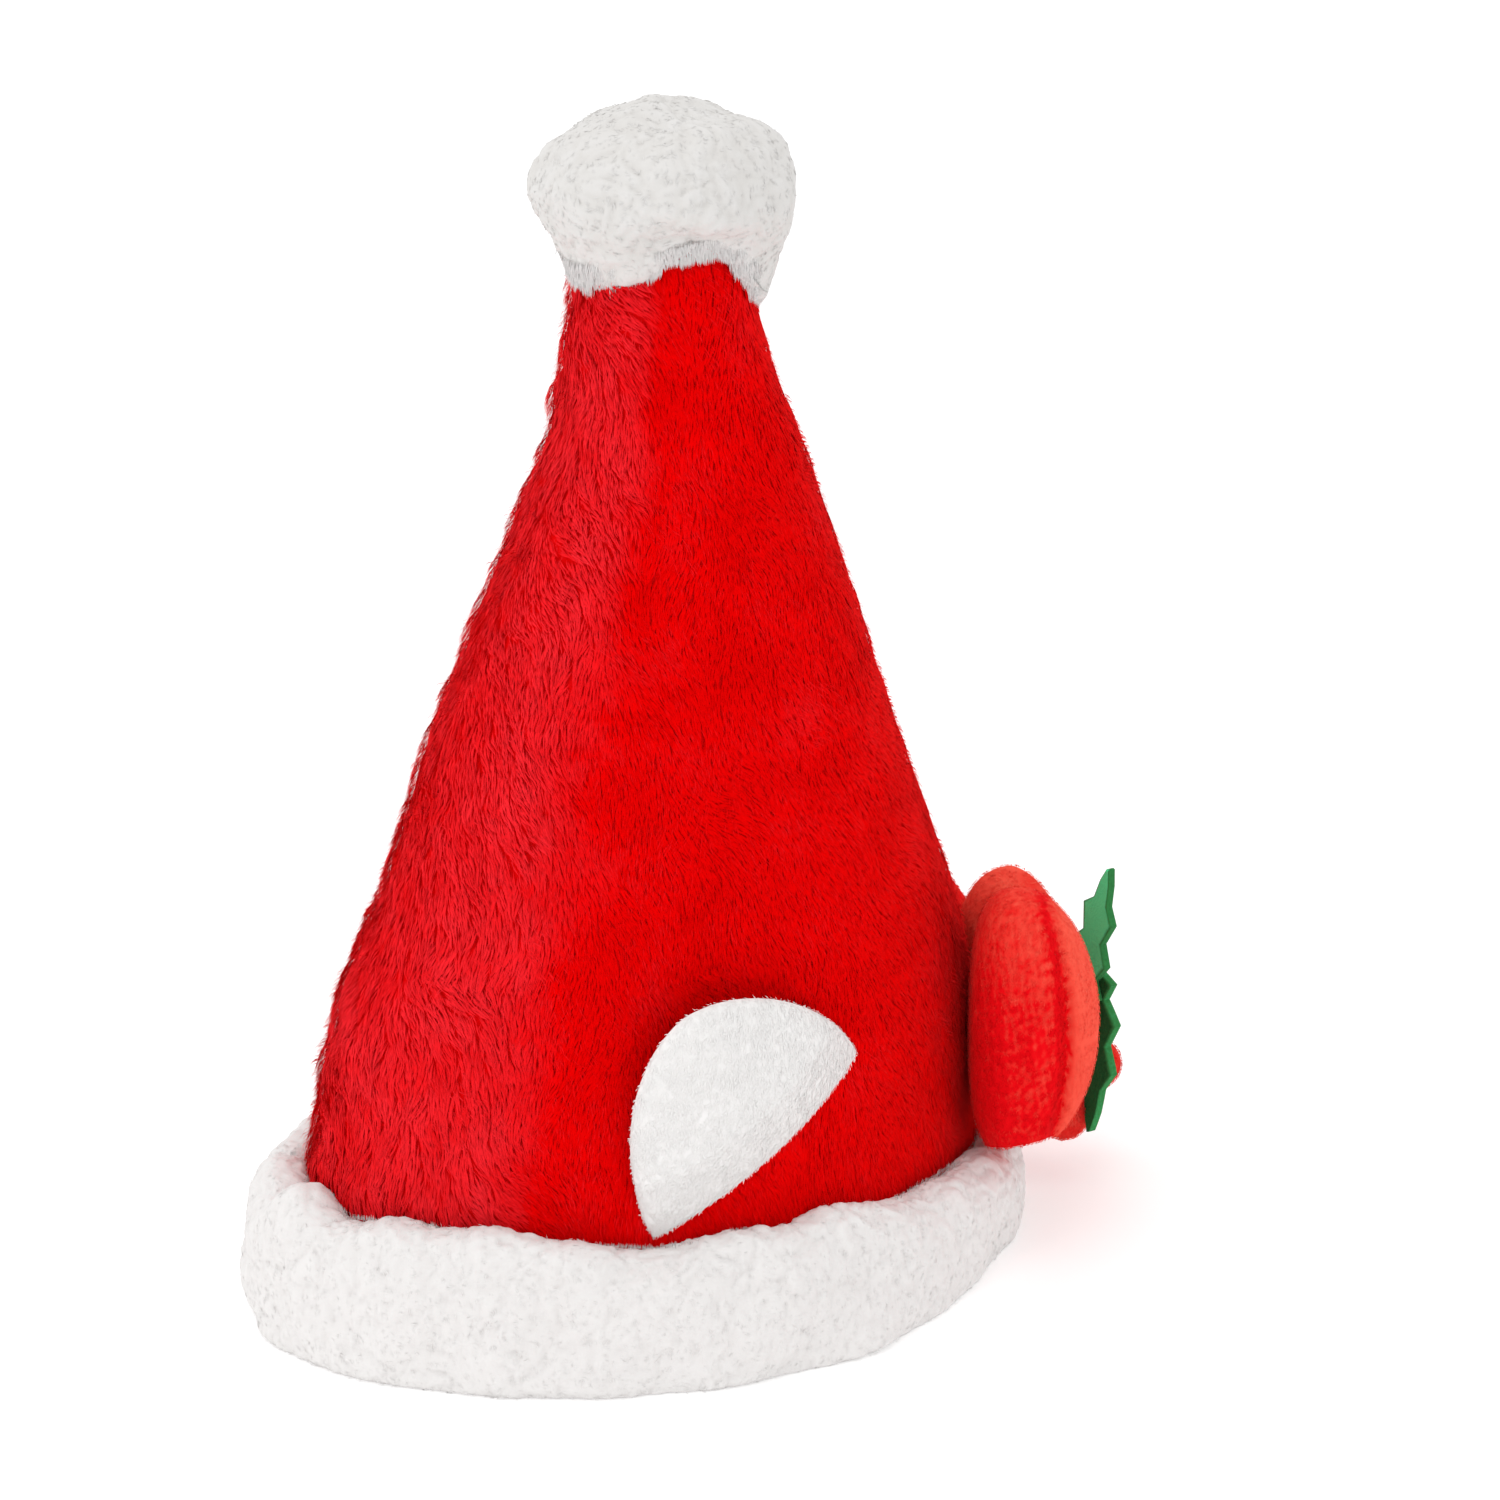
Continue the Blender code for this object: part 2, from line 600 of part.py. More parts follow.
def build():
    clear_scene()
    red = material("red plush", (0.62, 0.005, 0.008), 0.9)
    white = material("white sherpa", (0.86, 0.86, 0.85), 0.95)
    nap = material("white short plush", (0.88, 0.88, 0.87), 0.9)
    coral = material("coral plush", (0.80, 0.07, 0.045), 0.85)
    green = material("green felt", (0.012, 0.20, 0.06), 0.95)
    build_crown(red)
    build_band(white)
    build_pompom(material("white sherpa tufts", (0.86, 0.86, 0.85), 0.95))
    build_ear("ear_right", 1, nap)
    build_ear("ear_left", -1, nap)
    build_knot(coral)
    build_loop("bow_loop_right", 1, coral)
    build_loop("bow_loop_left", -1, coral)
    upper, lower = leaf_places()
    build_leaf("holly_leaf_upper", upper, green)
    build_leaf("holly_leaf_lower", lower, green)
    high, low = berry_places(lower)
    berry_red = material("berry plush", (0.72, 0.03, 0.02), 0.85)
    build_berry("berry_upper", high, berry_red)
    build_berry("berry_lower", low, berry_red)
    stand_over_origin()


build()
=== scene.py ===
import math

import bpy
import numpy as np
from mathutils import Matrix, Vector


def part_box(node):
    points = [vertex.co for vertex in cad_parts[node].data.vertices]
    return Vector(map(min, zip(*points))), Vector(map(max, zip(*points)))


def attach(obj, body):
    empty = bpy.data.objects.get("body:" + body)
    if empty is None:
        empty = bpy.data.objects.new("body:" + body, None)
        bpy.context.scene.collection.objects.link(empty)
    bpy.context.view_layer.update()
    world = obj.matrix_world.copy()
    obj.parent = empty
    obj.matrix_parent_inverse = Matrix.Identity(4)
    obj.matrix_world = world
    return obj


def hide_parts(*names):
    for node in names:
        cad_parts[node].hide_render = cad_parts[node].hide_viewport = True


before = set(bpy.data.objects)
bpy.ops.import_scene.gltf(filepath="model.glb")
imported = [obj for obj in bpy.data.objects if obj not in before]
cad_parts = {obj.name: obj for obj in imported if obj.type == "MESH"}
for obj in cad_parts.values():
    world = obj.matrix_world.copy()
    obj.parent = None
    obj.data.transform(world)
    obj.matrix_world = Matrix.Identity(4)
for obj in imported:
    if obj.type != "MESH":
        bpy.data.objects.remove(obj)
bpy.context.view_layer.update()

# Crown. The hat's tall cone: red plush with a medium pile, cut in panels that are sewn
# together down soft ridges. The back panel's nap stands up in locks, and the side panels'
# nap lies smooth.

MM = 0.001
crown_tip, crown_front, crown_back, crown_side = 345 * MM, 117 * MM, 108 * MM, 82 * MM
crown_wall, crown_hem, sewn_gap = 3 * MM, 6 * MM, 0.35 * MM
ridge_out, dent_in = 3.5 * MM, 4 * MM
band_cover, loose_over = 40 * MM, 20 * MM

# One row a height: share of crown_tip; front, back and side reaches as shares; power
crown_sections = np.array([
    # height, front, back, side, power
    (0.00, 1.00, 0.99, 1.00, 1.75),
    (0.13, 1.00, 1.01, 0.91, 1.75),
    (0.22, 0.98, 0.955, 0.85, 1.80),
    (0.29, 0.94, 0.885, 0.79, 1.85),
    (0.38, 0.84, 0.75, 0.72, 1.90),
    (0.49, 0.71, 0.61, 0.63, 2.00),
    (0.59, 0.61, 0.47, 0.55, 2.00),
    (0.68, 0.51, 0.34, 0.48, 2.00),
    (0.75, 0.43, 0.22, 0.43, 2.00),
    (0.80, 0.37, 0.19, 0.38, 2.00),
    (0.85, 0.32, 0.18, 0.34, 2.00),
    (0.92, 0.28, 0.14, 0.29, 2.00),
    (0.96, 0.24, 0.09, 0.24, 2.00),
    (0.99, 0.15, 0.01, 0.14, 2.00),
    (1.00, 0.08, -0.07, 0.01, 2.00),
]).T

# One row a fold: turn and spread round it in degrees, height and spread up as shares
crown_folds = np.array([
    # turn, height, spread_round, spread_up, depth
    (134.0, 0.50, 16.0, 0.50, 1.00),
    (226.0, 0.50, 16.0, 0.50, 1.00),
    (168.0, 0.27, 26.0, 0.05, 0.90),
    (100.0, 0.47, 15.0, 0.04, -0.50),
    (84.0, 0.40, 11.0, 0.04, -0.60),
    (272.0, 0.44, 16.0, 0.05, -0.70),
    (200.0, 0.66, 22.0, 0.05, -0.55),
])


def eased(at, places, values):
    """A smooth curve through values at places: a cubic between each pair, whose slope at a
    place is the mean of the slopes at its two sides, or level where the values turn."""
    at = np.clip(np.asarray(at, float), places[0], places[-1])
    rise = np.diff(values) / np.diff(places)
    slope = np.concatenate([rise[:1], (rise[:-1] + rise[1:]) / 2, rise[-1:]])
    slope[1:-1] = np.where(rise[:-1] * rise[1:] <= 0, 0, slope[1:-1])
    i = np.clip(np.searchsorted(places, at, side="right") - 1, 0, len(rise) - 1)
    wide = places[i + 1] - places[i]
    s = (at - places[i]) / wide
    return (values[i] * (1 + 2 * s) * (1 - s) ** 2 + slope[i] * wide * s * (1 - s) ** 2
            + values[i + 1] * s * s * (3 - 2 * s) + slope[i + 1] * wide * s * s * (s - 1))


def crown_reach(height):
    """The crown's section at a height: its middle's Y, half length, half width and power."""
    share, front, back, side, power = crown_sections
    front, back, side, power = (
        eased(height / crown_tip, share, column) for column in (front, back, side, power))
    front, back = front * crown_front, back * crown_back
    return (back - front) / 2, (back + front) / 2, side * crown_side, power


def crown_place(turn, height, out=0.0):
    """A point out from the crown's outer face: x = -side sin^(2/power) turn and
    y = middle - long cos^(2/power) turn, pushed out along its own radius by the folds,
    which are bumps exp(-(away/spread)^2 - (up/spread)^2)."""
    turn, height, out = np.broadcast_arrays(turn, height, out)
    middle, long, side, power = crown_reach(height)
    x = -side * np.sign(np.sin(turn)) * np.abs(np.sin(turn)) ** (2 / power)
    y = -long * np.sign(np.cos(turn)) * np.abs(np.cos(turn)) ** (2 / power)
    fold = np.zeros(turn.shape)
    for centre, level, spread_round, spread_up, depth in crown_folds:
        away = (np.degrees(turn) - centre + 180) % 360 - 180
        up = height / crown_tip - level
        fold += (ridge_out if depth > 0 else dent_in) * depth * np.exp(
            -((away / spread_round) ** 2) - (up / spread_up) ** 2)
    fold *= np.clip((1 - height / crown_tip) / 0.2, 0, 1) * np.clip(height / band_cover - 1, 0, 1)
    grow = 1 + (fold + out) / np.maximum(np.hypot(x, y), 1e-6)
    return np.stack([x * grow, middle + y * grow, height], -1)


# The head opening's middle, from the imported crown's box and how far its rings reach
crown_low, crown_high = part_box("crown")
round_turns = np.linspace(0, 2 * np.pi, 48, endpoint=False)
crown_rings = crown_place(round_turns, np.linspace(0.01, 0.4, 40)[:, None] * crown_tip)
hat_middle = np.array([
    (crown_low.x + crown_high.x) / 2, crown_low.y - crown_rings[..., 1].min(), 0.0])


def crown_face(a, b):
    """The crown's outer face: a runs from 0 to 1 round it, from the front by the wearer's
    right, and b from 0 at the hem to 1 at the tip."""
    return crown_place(2 * np.pi * a, crown_hem + (crown_tip - crown_hem) * b) + hat_middle


def unit(vectors):
    return vectors / np.maximum(np.linalg.norm(vectors, axis=-1, keepdims=True), 1e-12)


def cell_random(cells, seed, count):
    """Numbers from 0 to 1 that are always the same for one whole-number cell: its three
    numbers are multiplied by large primes, joined with the seed, and mixed."""
    primes = np.array([73856093, 19349663, 83492791])
    mixed = np.bitwise_xor.reduce(cells * primes, axis=-1) ^ (seed * 40503)
    mixed &= 0xFFFFFFFF
    found = []
    for step in range(count):
        mixed = ((mixed ^ (mixed >> 15)) * 2246822519 + 374761393 * (step + 1)) & 0xFFFFFFFF
        mixed ^= mixed >> 13
        found.append(mixed / 4294967296)
    return np.stack(found, -1)


def locks(points, size, seed):
    """The lock of pile that each point belongs to. Space is cut in cells of size, each with
    one centre at a random place. Returns the distance to the nearest centre in cell sizes,
    the way to it in metres, and that lock's own random number."""
    p = points / size
    cell = np.floor(p).astype(np.int64)
    distance = np.full(p.shape[:-1], 9.0)
    way, number = np.zeros(p.shape), np.zeros(p.shape[:-1])
    for step in np.ndindex(3, 3, 3):
        near = cell + np.array(step) - 1
        chance = cell_random(near, seed, 4)
        offset = near + 0.15 + 0.7 * chance[..., :3] - p
        length = np.linalg.norm(offset, axis=-1)
        nearer = length < distance
        distance = np.where(nearer, length, distance)
        way = np.where(nearer[..., None], offset * size, way)
        number = np.where(nearer, chance[..., 3], number)
    return distance, way, number


def wander(points, size, seed):
    """A smooth random value, mostly from -1 to 1, that changes over about size metres: the
    sum of 16 sine waves in random directions."""
    rng = np.random.default_rng(seed)
    ways = unit(rng.normal(size=(16, 3))) * (2 * np.pi / size) * rng.uniform(0.6, 1.3, (16, 1))
    return np.sin(points @ ways.T + rng.uniform(0, 2 * np.pi, 16)).sum(-1) / 4


def directions(surface, a, b, step=0.0015):
    """Points of a surface at (a, b), the unit directions of growing a and b there, and the
    normal across both, from differences over a small step."""
    along_a = unit(surface(a + step, b) - surface(a - step, b))
    along_b = unit(surface(a, b + step) - surface(a, b - step))
    return surface(a, b), along_a, along_b, unit(np.cross(along_a, along_b))


def scattered(surface, count, a_range, b_range, seed):
    """Even random places on a surface: cells of a grid are drawn in proportion to their
    area, and each place is random inside its cell."""
    rng = np.random.default_rng(seed)
    a, b = np.linspace(*a_range, 181), np.linspace(*b_range, 181)
    grid = surface(a[:, None], b[None, :])
    area = np.linalg.norm(np.cross(
        grid[1:, :-1] - grid[:-1, :-1], grid[:-1, 1:] - grid[:-1, :-1]), axis=-1).ravel()
    drawn = np.searchsorted(np.cumsum(area), rng.random(count) * area.sum())
    i, j = np.divmod(np.minimum(drawn, 180 * 180 - 1), 180)
    return (a[i] + (a[1] - a[0]) * rng.random(count), b[j] + (b[1] - b[0]) * rng.random(count))


def made(name, points, faces, finish, tone=None, normals=None):
    """A mesh object at the origin from an array of points and a list of face arrays, each
    with one row of corner numbers a face. tone is a number for each point."""
    mesh = bpy.data.meshes.new(name)
    sizes = np.concatenate([np.full(len(f), f.shape[1]) for f in faces])
    corners = np.concatenate([f.ravel() for f in faces])
    mesh.vertices.add(len(points))
    mesh.vertices.foreach_set("co", np.ascontiguousarray(points, np.float32).ravel())
    mesh.loops.add(len(corners))
    mesh.loops.foreach_set("vertex_index", corners.astype(np.int32))
    mesh.polygons.add(len(sizes))
    starts = np.concatenate([[0], np.cumsum(sizes)[:-1]])
    mesh.polygons.foreach_set("loop_start", starts.astype(np.int32))
    mesh.update(calc_edges=True)
    mesh.validate()
    mesh.shade_smooth()
    if tone is not None:
        kept = mesh.attributes.new("tone", "FLOAT", "POINT")
        kept.data.foreach_set("value", np.ascontiguousarray(tone, np.float32).ravel())
    if normals is not None:
        mesh.normals_split_custom_set_from_vertices(normals)
    mesh.materials.append(finish)
    piece = bpy.data.objects.new(name, mesh)
    bpy.context.scene.collection.objects.link(piece)
    return piece


def closed_grid(rows, columns, poles=True):
    """Faces of a tube of rings with columns points each, its two ends closed by one point
    each, which come after the rings. Without poles its last ring joins the first."""
    ring = np.arange(rows)[:, None] * columns
    i, j = np.arange(columns), (np.arange(columns) + 1) % columns
    above = np.roll(ring, -1, axis=0)
    quads = np.stack([ring + i, ring + j, above + j, above + i], -1)
    if not poles:
        return [quads.reshape(-1, 4)]
    first = np.stack([np.full(columns, rows * columns), j, i], -1)
    end = (rows - 1) * columns
    last = np.stack([np.full(columns, rows * columns + 1), end + i, end + j], -1)
    return [quads[:-1].reshape(-1, 4), first, last]


def outward(points, faces):
    """The same faces, turned over if the body they close has a negative volume."""
    volume = 0
    for f in faces:
        for k in range(1, f.shape[1] - 1):
            a, b, c = points[f[:, 0]], points[f[:, k]], points[f[:, k + 1]]
            volume += np.einsum("ij,ij->", a, np.cross(b, c))
    return faces if volume > 0 else [f[:, ::-1] for f in faces]


def closed_body(name, rings, ends, finish, tone):
    """A closed piece, from rings of points and the two points that close its ends. tone is
    one number, a number for each point, or a function of the points."""
    points = np.concatenate([rings.reshape(-1, 3), ends])
    faces = outward(points, closed_grid(*rings.shape[:2]))
    tones = tone(points) if callable(tone) else np.broadcast_to(tone, len(points))
    return made(name, points, faces, finish, tones)


def grown(name, pile_parts, finish):
    """Pile made one mesh, from the points, faces, tones and normals of its strands."""
    points, faces, tones, normals = pile_parts
    pile = made(name, points, faces, finish, tones, normals)
    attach(pile, "root")


def strands(roots, out, lean, length, width, lift, tone, seed, shades=(1.0, 1.0, 1.0)):
    """Kites of pile, one a root: root, left, right and tip. A strand runs along lean and
    rises off the cloth as lift * s * (2 - s), where s is the share of its length, so its
    tip lies over. shades scale its tone at root, middle and tip: a darker root is painted
    shade deep in the pile, and a brighter tip is painted light. Returns its points, faces,
    tones and normals."""
    rng = np.random.default_rng(seed)
    count = len(roots)
    side = unit(np.cross(out, lean))
    roll = rng.normal(0, 0.12, (count, 1))
    side = side * np.cos(roll) + out * np.sin(roll)
    length = np.broadcast_to(length, (count,))[:, None] * rng.uniform(0.7, 1.2, (count, 1))
    lift = np.broadcast_to(lift, (count,))[:, None]
    half = np.broadcast_to(width, (count,))[:, None] / 2 * rng.uniform(0.75, 1.25, (count, 1))
    bent = roots + length * (0.5 * lean + 0.75 * lift * out)
    points = np.stack([roots, bent - side * half, bent + side * half,
                       roots + length * (lean + lift * out)], 1)
    first = 4 * np.arange(count)[:, None]
    faces = [np.concatenate([first + (0, 1, 2), first + (1, 3, 2)])]
    root, middle, tip = shades
    tone = np.broadcast_to(tone, (count,))[:, None] * np.array([root, middle, middle, tip])
    normals = unit(out[:, None] + lean[:, None] * np.array([0.0, 0.25, 0.25, 0.45])[:, None]
                   + rng.normal(0, 0.12, (count, 1, 3)))
    return points.reshape(-1, 3), faces, tone.ravel(), normals.reshape(-1, 3)


# Cloth grain, used by every fabric here: soft blotches and fine fibres over its tone
cloth_grain = bpy.data.node_groups.new("cloth grain", "ShaderNodeTree")
for label, way, start in (("Tone", "INPUT", 0.5), ("Blotch Size", "INPUT", 40.0),
                          ("Blotch", "INPUT", 0.2), ("Fibre Size", "INPUT", 900.0),
                          ("Fibre", "INPUT", 0.2), ("Mask", "OUTPUT", 0.0),
                          ("Height", "OUTPUT", 0.0)):
    socket = cloth_grain.interface.new_socket(label, in_out=way, socket_type="NodeSocketFloat")
    if way == "INPUT":
        socket.default_value = start
grain, wire = cloth_grain.nodes, cloth_grain.links.new
grain_in, grain_out = grain.new("NodeGroupInput"), grain.new("NodeGroupOutput")
grain_place = grain.new("ShaderNodeTexCoord")
blotches, fibres = grain.new("ShaderNodeTexNoise"), grain.new("ShaderNodeTexNoise")
blotches.inputs["Detail"].default_value, fibres.inputs["Detail"].default_value = 3, 2
for noise, size in ((blotches, "Blotch Size"), (fibres, "Fibre Size")):
    wire(grain_place.outputs["Object"], noise.inputs["Vector"])
    wire(grain_in.outputs[size], noise.inputs["Scale"])
sums = []
for noise, amount in ((blotches, "Blotch"), (fibres, "Fibre")):
    centred, scaled = grain.new("ShaderNodeMath"), grain.new("ShaderNodeMath")
    centred.operation, scaled.operation = "SUBTRACT", "MULTIPLY"
    centred.inputs[1].default_value = 0.5
    wire(noise.outputs["Fac"], centred.inputs[0])
    wire(centred.outputs[0], scaled.inputs[0])
    wire(grain_in.outputs[amount], scaled.inputs[1])
    sums.append(scaled)
grain_sum, grain_mask = grain.new("ShaderNodeMath"), grain.new("ShaderNodeMath")
grain_mask.use_clamp = True
wire(sums[0].outputs[0], grain_sum.inputs[0])
wire(sums[1].outputs[0], grain_sum.inputs[1])
wire(grain_sum.outputs[0], grain_mask.inputs[0])
wire(grain_in.outputs["Tone"], grain_mask.inputs[1])
wire(grain_mask.outputs[0], grain_out.inputs["Mask"])
wire(fibres.outputs["Fac"], grain_out.inputs["Height"])


def fabric(name, colours, roughness, sheen, blotch, fibre, bump):
    """A cloth finish: its colour runs through three colours, from deep in the pile to the
    tips, by the mesh's own tone and the cloth grain. Where the pieces set it so, a low tone
    is painted shade and a high one is painted light. blotch and fibre are (size, amount),
    and sheen is (weight, colour)."""
    finish = bpy.data.materials.new(name)
    finish.use_nodes = True
    nodes, join = finish.node_tree.nodes, finish.node_tree.links.new
    shader = nodes["Principled BSDF"]
    shader.inputs["Roughness"].default_value = roughness
    shader.inputs["Sheen Weight"].default_value = sheen[0]
    shader.inputs["Sheen Roughness"].default_value = 0.4
    shader.inputs["Sheen Tint"].default_value = (*sheen[1], 1)
    shader.inputs["Specular IOR Level"].default_value = 0.01
    tone = nodes.new("ShaderNodeAttribute")
    tone.attribute_name = "tone"
    grained = nodes.new("ShaderNodeGroup")
    grained.node_tree = cloth_grain
    for label, value in (("Blotch Size", blotch[0]), ("Blotch", blotch[1]),
                         ("Fibre Size", fibre[0]), ("Fibre", fibre[1])):
        grained.inputs[label].default_value = value
    ramp = nodes.new("ShaderNodeValToRGB")
    ramp.color_ramp.elements.new(0.5)
    for stop, colour in zip(ramp.color_ramp.elements, colours):
        stop.color = (*colour, 1)
    relief = nodes.new("ShaderNodeBump")
    relief.inputs["Strength"].default_value = bump
    relief.inputs["Distance"].default_value = 0.4 * MM
    join(tone.outputs["Fac"], grained.inputs["Tone"])
    join(grained.outputs["Mask"], ramp.inputs["Fac"])
    join(ramp.outputs["Color"], shader.inputs["Base Color"])
    join(grained.outputs["Height"], relief.inputs["Height"])
    join(relief.outputs["Normal"], shader.inputs["Normal"])
    return finish


# Red plush: its lightest colour is painted light on the crown's back panel and the pile's tips
red_plush = fabric("red plush", [(0.52, 0.0, 0.0), (0.84, 0.0004, 0.0006), (0.97, 0.022, 0.032)],
                   0.95, (0.6, (1.0, 0.03, 0.03)), (38, 0.14), (700, 0.08), 0.2)
red_backing = fabric("red plush backing", [(0.55, 0.0, 0.0), (0.86, 0.0005, 0.0005),
                                           (0.95, 0.012, 0.016)],
                     0.95, (0.03, (1.0, 0.1, 0.05)), (60, 0.15), (900, 0.15), 0.4)

hem_front, hem_back, hem_sides = 304 * MM, 313 * MM, 326 * MM


def pompom_hem(turn):
    """The height of the pompom's hem at a turn: the sides' height, falling as powers of the
    turn's sine to the front's and the back's."""
    sine = np.sin(turn)
    return np.where(np.cos(turn) > 0, hem_front + (hem_sides - hem_front) * sine ** 6,
                    hem_back + (hem_sides - hem_back) * sine ** 2)


def back_panel(turn):
    """1 on the panel between the two back seams and 0 off it: a logistic curve, 3.5
    degrees wide, at 46 degrees either side of the back's middle."""
    return 1 / (1 + np.exp(-(46 - np.abs(np.degrees(turn) - 180)) / 3.5))


def crown_lumps(points, turn):
    """How far the plush swells out: a wander 13 mm across, three times higher at the back."""
    return 0.7 * MM * (0.3 + 0.7 * back_panel(turn)) * wander(points, 13 * MM, 6)


def above_cover(height):
    """0 where the band hides the crown, and growing to 1 over 20 mm above it."""
    return np.clip((height - band_cover) / loose_over, 0, 1)


# Its cloth, under the pile: rings of the outer face, closer together at the tip, from the
# tip to the hem, then of the inner face back up
cloth_under = 0.6 * MM
crown_turns = np.linspace(0, 2 * np.pi, 192, endpoint=False)
outer_heights = crown_tip - (crown_tip - crown_hem) * np.linspace(0.0, 1, 111)[1:] ** 1.15
inner_heights = np.linspace(crown_hem, 0.955 * crown_tip, 30)
crown_outer = crown_place(crown_turns, outer_heights[:, None])
crown_rise = crown_lumps(crown_outer, crown_turns) - cloth_under
crown_cloth_rings = np.concatenate([
    crown_place(crown_turns, outer_heights[:, None], above_cover(crown_outer[..., 2]) * crown_rise),
    crown_place(crown_turns, inner_heights[:, None], -crown_wall)])
tip_middle = crown_reach(np.array([crown_tip, inner_heights[-1]]))[0]
crown_ends = np.array([
    (0, tip_middle[0], crown_tip), (0, tip_middle[1], inner_heights[-1] + crown_wall)])
crown_cloth = closed_body("crown_cloth", crown_cloth_rings + hat_middle,
                          crown_ends + hat_middle, red_backing, 0.6)
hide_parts("crown")
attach(crown_cloth, "root")

# The sizes of the locks that the pile gathers in, and of the small ones among them
crown_lock, small_lock = 6 * MM, 3 * MM


def crown_pile(name, count, b_range, seed, length, width, stand):
    """Pile on a stretch of the crown, below the pompom's hem. On the back panel it stands in
    locks, and elsewhere it lies flat; each tip is drawn towards its lock's middle. Painted
    shade darkens it along partings, where a wander of the cloth passes zero, and painted
    light raises the back panel's tone. stand adds to its rise."""
    a, b = scattered(crown_face, count, (0, 1), b_range, seed)
    kept = b * crown_tip < pompom_hem(2 * np.pi * a) + 1 * MM
    a, b = a[kept], b[kept]
    roots, around, upward, out = directions(crown_face, a, b)
    out = -out if np.mean(np.sum(out * (roots - hat_middle) * (1, 1, 0), -1)) < 0 else out
    turn = 2 * np.pi * a
    back = back_panel(turn)
    sway = np.radians(10 + 24 * back) + 0.4 * wander(roots, 45 * MM, seed) + 0.2 * wander(
        roots, 12 * MM, seed + 1)
    lean = -upward * np.cos(sway)[:, None] - around * np.sin(sway)[:, None]
    _, way, number = locks(roots + 2 * MM * lean, crown_lock, 7)
    _, small_way, small_number = locks(roots, small_lock, 8)
    gather = (0.06 + 0.34 * back)[:, None]
    lean = unit(lean + gather * (way / crown_lock + 0.5 * small_way / small_lock))
    lean = unit(lean - out * np.sum(lean * out, -1, keepdims=True))
    height = stand * (1 + 0.6 * back) + 0.11 + 0.12 * back + 0.12 * number * (0.12 + back)
    parting_shade = np.exp(-((wander(roots, 26 * MM, 9) / 0.07) ** 2)) * np.clip(
        0.3 + wander(roots, 50 * MM, 10), 0, 1) * (1 - back)
    # Painted light: the back panel's tone is raised as if its standing nap caught the light;
    # painted shade darkens the partings
    tone = (0.46 + 0.36 * back + 0.16 * (number - 0.5) * (0.08 + back) + stand * 0.3
            + 0.08 * (small_number - 0.5) * (0.25 + back) + 0.05 * wander(roots, 28 * MM, 5)
            - 0.22 * parting_shade)
    rise = crown_lumps(roots - hat_middle, turn) * above_cover(roots[:, 2])
    grown(name, strands(
        roots + out * (rise - 0.2 * MM)[:, None], out, lean, length * (1 + 0.06 * back),
        width * (1 - 0.2 * back), height, tone, seed + 2, (0.94, 1.0, 1.08)),
        red_plush)


crown_pile("crown_pile_lower", 98000, (0.03, 0.33), 11, 5.0 * MM, 0.68 * MM, 0.0)
crown_pile("crown_pile_upper", 98000, (0.33, 0.96), 12, 5.0 * MM, 0.68 * MM, 0.0)
crown_pile("crown_guard_hairs", 30000, (0.05, 0.96), 13, 3.4 * MM, 0.3 * MM, 0.36)

# Band. A thick ring of white curly sherpa round the hem: padded, sewn on under the hem,
# and folded up outside. It is thicker and taller towards the back, and its top edge runs
# in tufts over the red pile.

band_thick_front, band_thick_back = 14 * MM, 21 * MM
band_height_front, band_height_side, band_height_back = 25 * MM, 40 * MM, 47 * MM
band_lean, band_scallop = 0.40, 0.035
band_curls, band_swells = (5.5 * MM, 1.9 * MM), (30 * MM, 1.4 * MM)
band_columns, band_rows = 860, 72
floor_end, face_end, top_end, inside_end = 0.16, 0.78, 0.90, 0.97


def band_height(y):
    """The band's height at a place along the hat: the side's, moving to the front's or the
    back's as the 1.5th power of the share of the way there."""
    to_front = np.clip(-y / crown_front, 0, 1) ** 1.5
    to_back = np.clip(y / crown_back, 0, 1) ** 1.5
    return (band_height_side + (band_height_front - band_height_side) * to_front
            + (band_height_back - band_height_side) * to_back)


def band_section(turn, b):
    """A closed section, as b runs from 0 to 1: out along the floor; up the outer face, its
    reach falling as cos^0.8 and its height rising as the sine of an angle from -38 to 90
    degrees; over the top; down inside; and under the hem."""
    y = crown_place(turn, crown_hem)[..., 1]
    share = np.clip((y + crown_front) / (crown_front + crown_back), 0, 1)
    thick = band_thick_front + (band_thick_back - band_thick_front) * share
    top = band_height(y) * (1 + band_scallop * np.sin(11 * turn + 2 * np.sin(4 * turn)))
    rise = np.clip((b - floor_end) / 0.62, 0, 1)
    low = math.radians(-38)
    angle = low + (math.pi / 2 - low) * rise
    out = thick * (band_lean + (1 - band_lean) * np.clip(np.cos(angle), 0, 1) ** 0.8)
    up = top * (np.sin(angle) - math.sin(low)) / (1 - math.sin(low))
    floor_out = thick * (band_lean + (1 - band_lean) * math.cos(low) ** 0.8)
    under = np.clip(b / floor_end, 0, 1)
    out = np.where(b < floor_end, -crown_wall + (floor_out + crown_wall) * under, out)
    over = np.clip((b - face_end) / 0.12, 0, 1)
    out = np.where(b > face_end, thick * band_lean * (1 - over) + sewn_gap * over, out)
    up = np.where(b > face_end, top * (1 - 0.07 * over ** 2), up)
    down = np.clip((b - top_end) / 0.07, 0, 1)
    up = np.where(b > top_end, top * 0.93 * (1 - down) + (crown_hem - sewn_gap) * down, up)
    tuck = np.clip((b - inside_end) / 0.02, 0, 1)
    return np.where(b > inside_end, sewn_gap * (1 - tuck) - crown_wall * tuck, out), up


def band_face(a, b):
    """A point of the band: its section, laid out from the crown's hem at that turn."""
    turn = 2 * np.pi * a
    out, up = band_section(turn, b)
    place = crown_place(turn, np.maximum(up, crown_hem), out) * (1, 1, 0) + hat_middle
    place[..., 2] = up
    return place


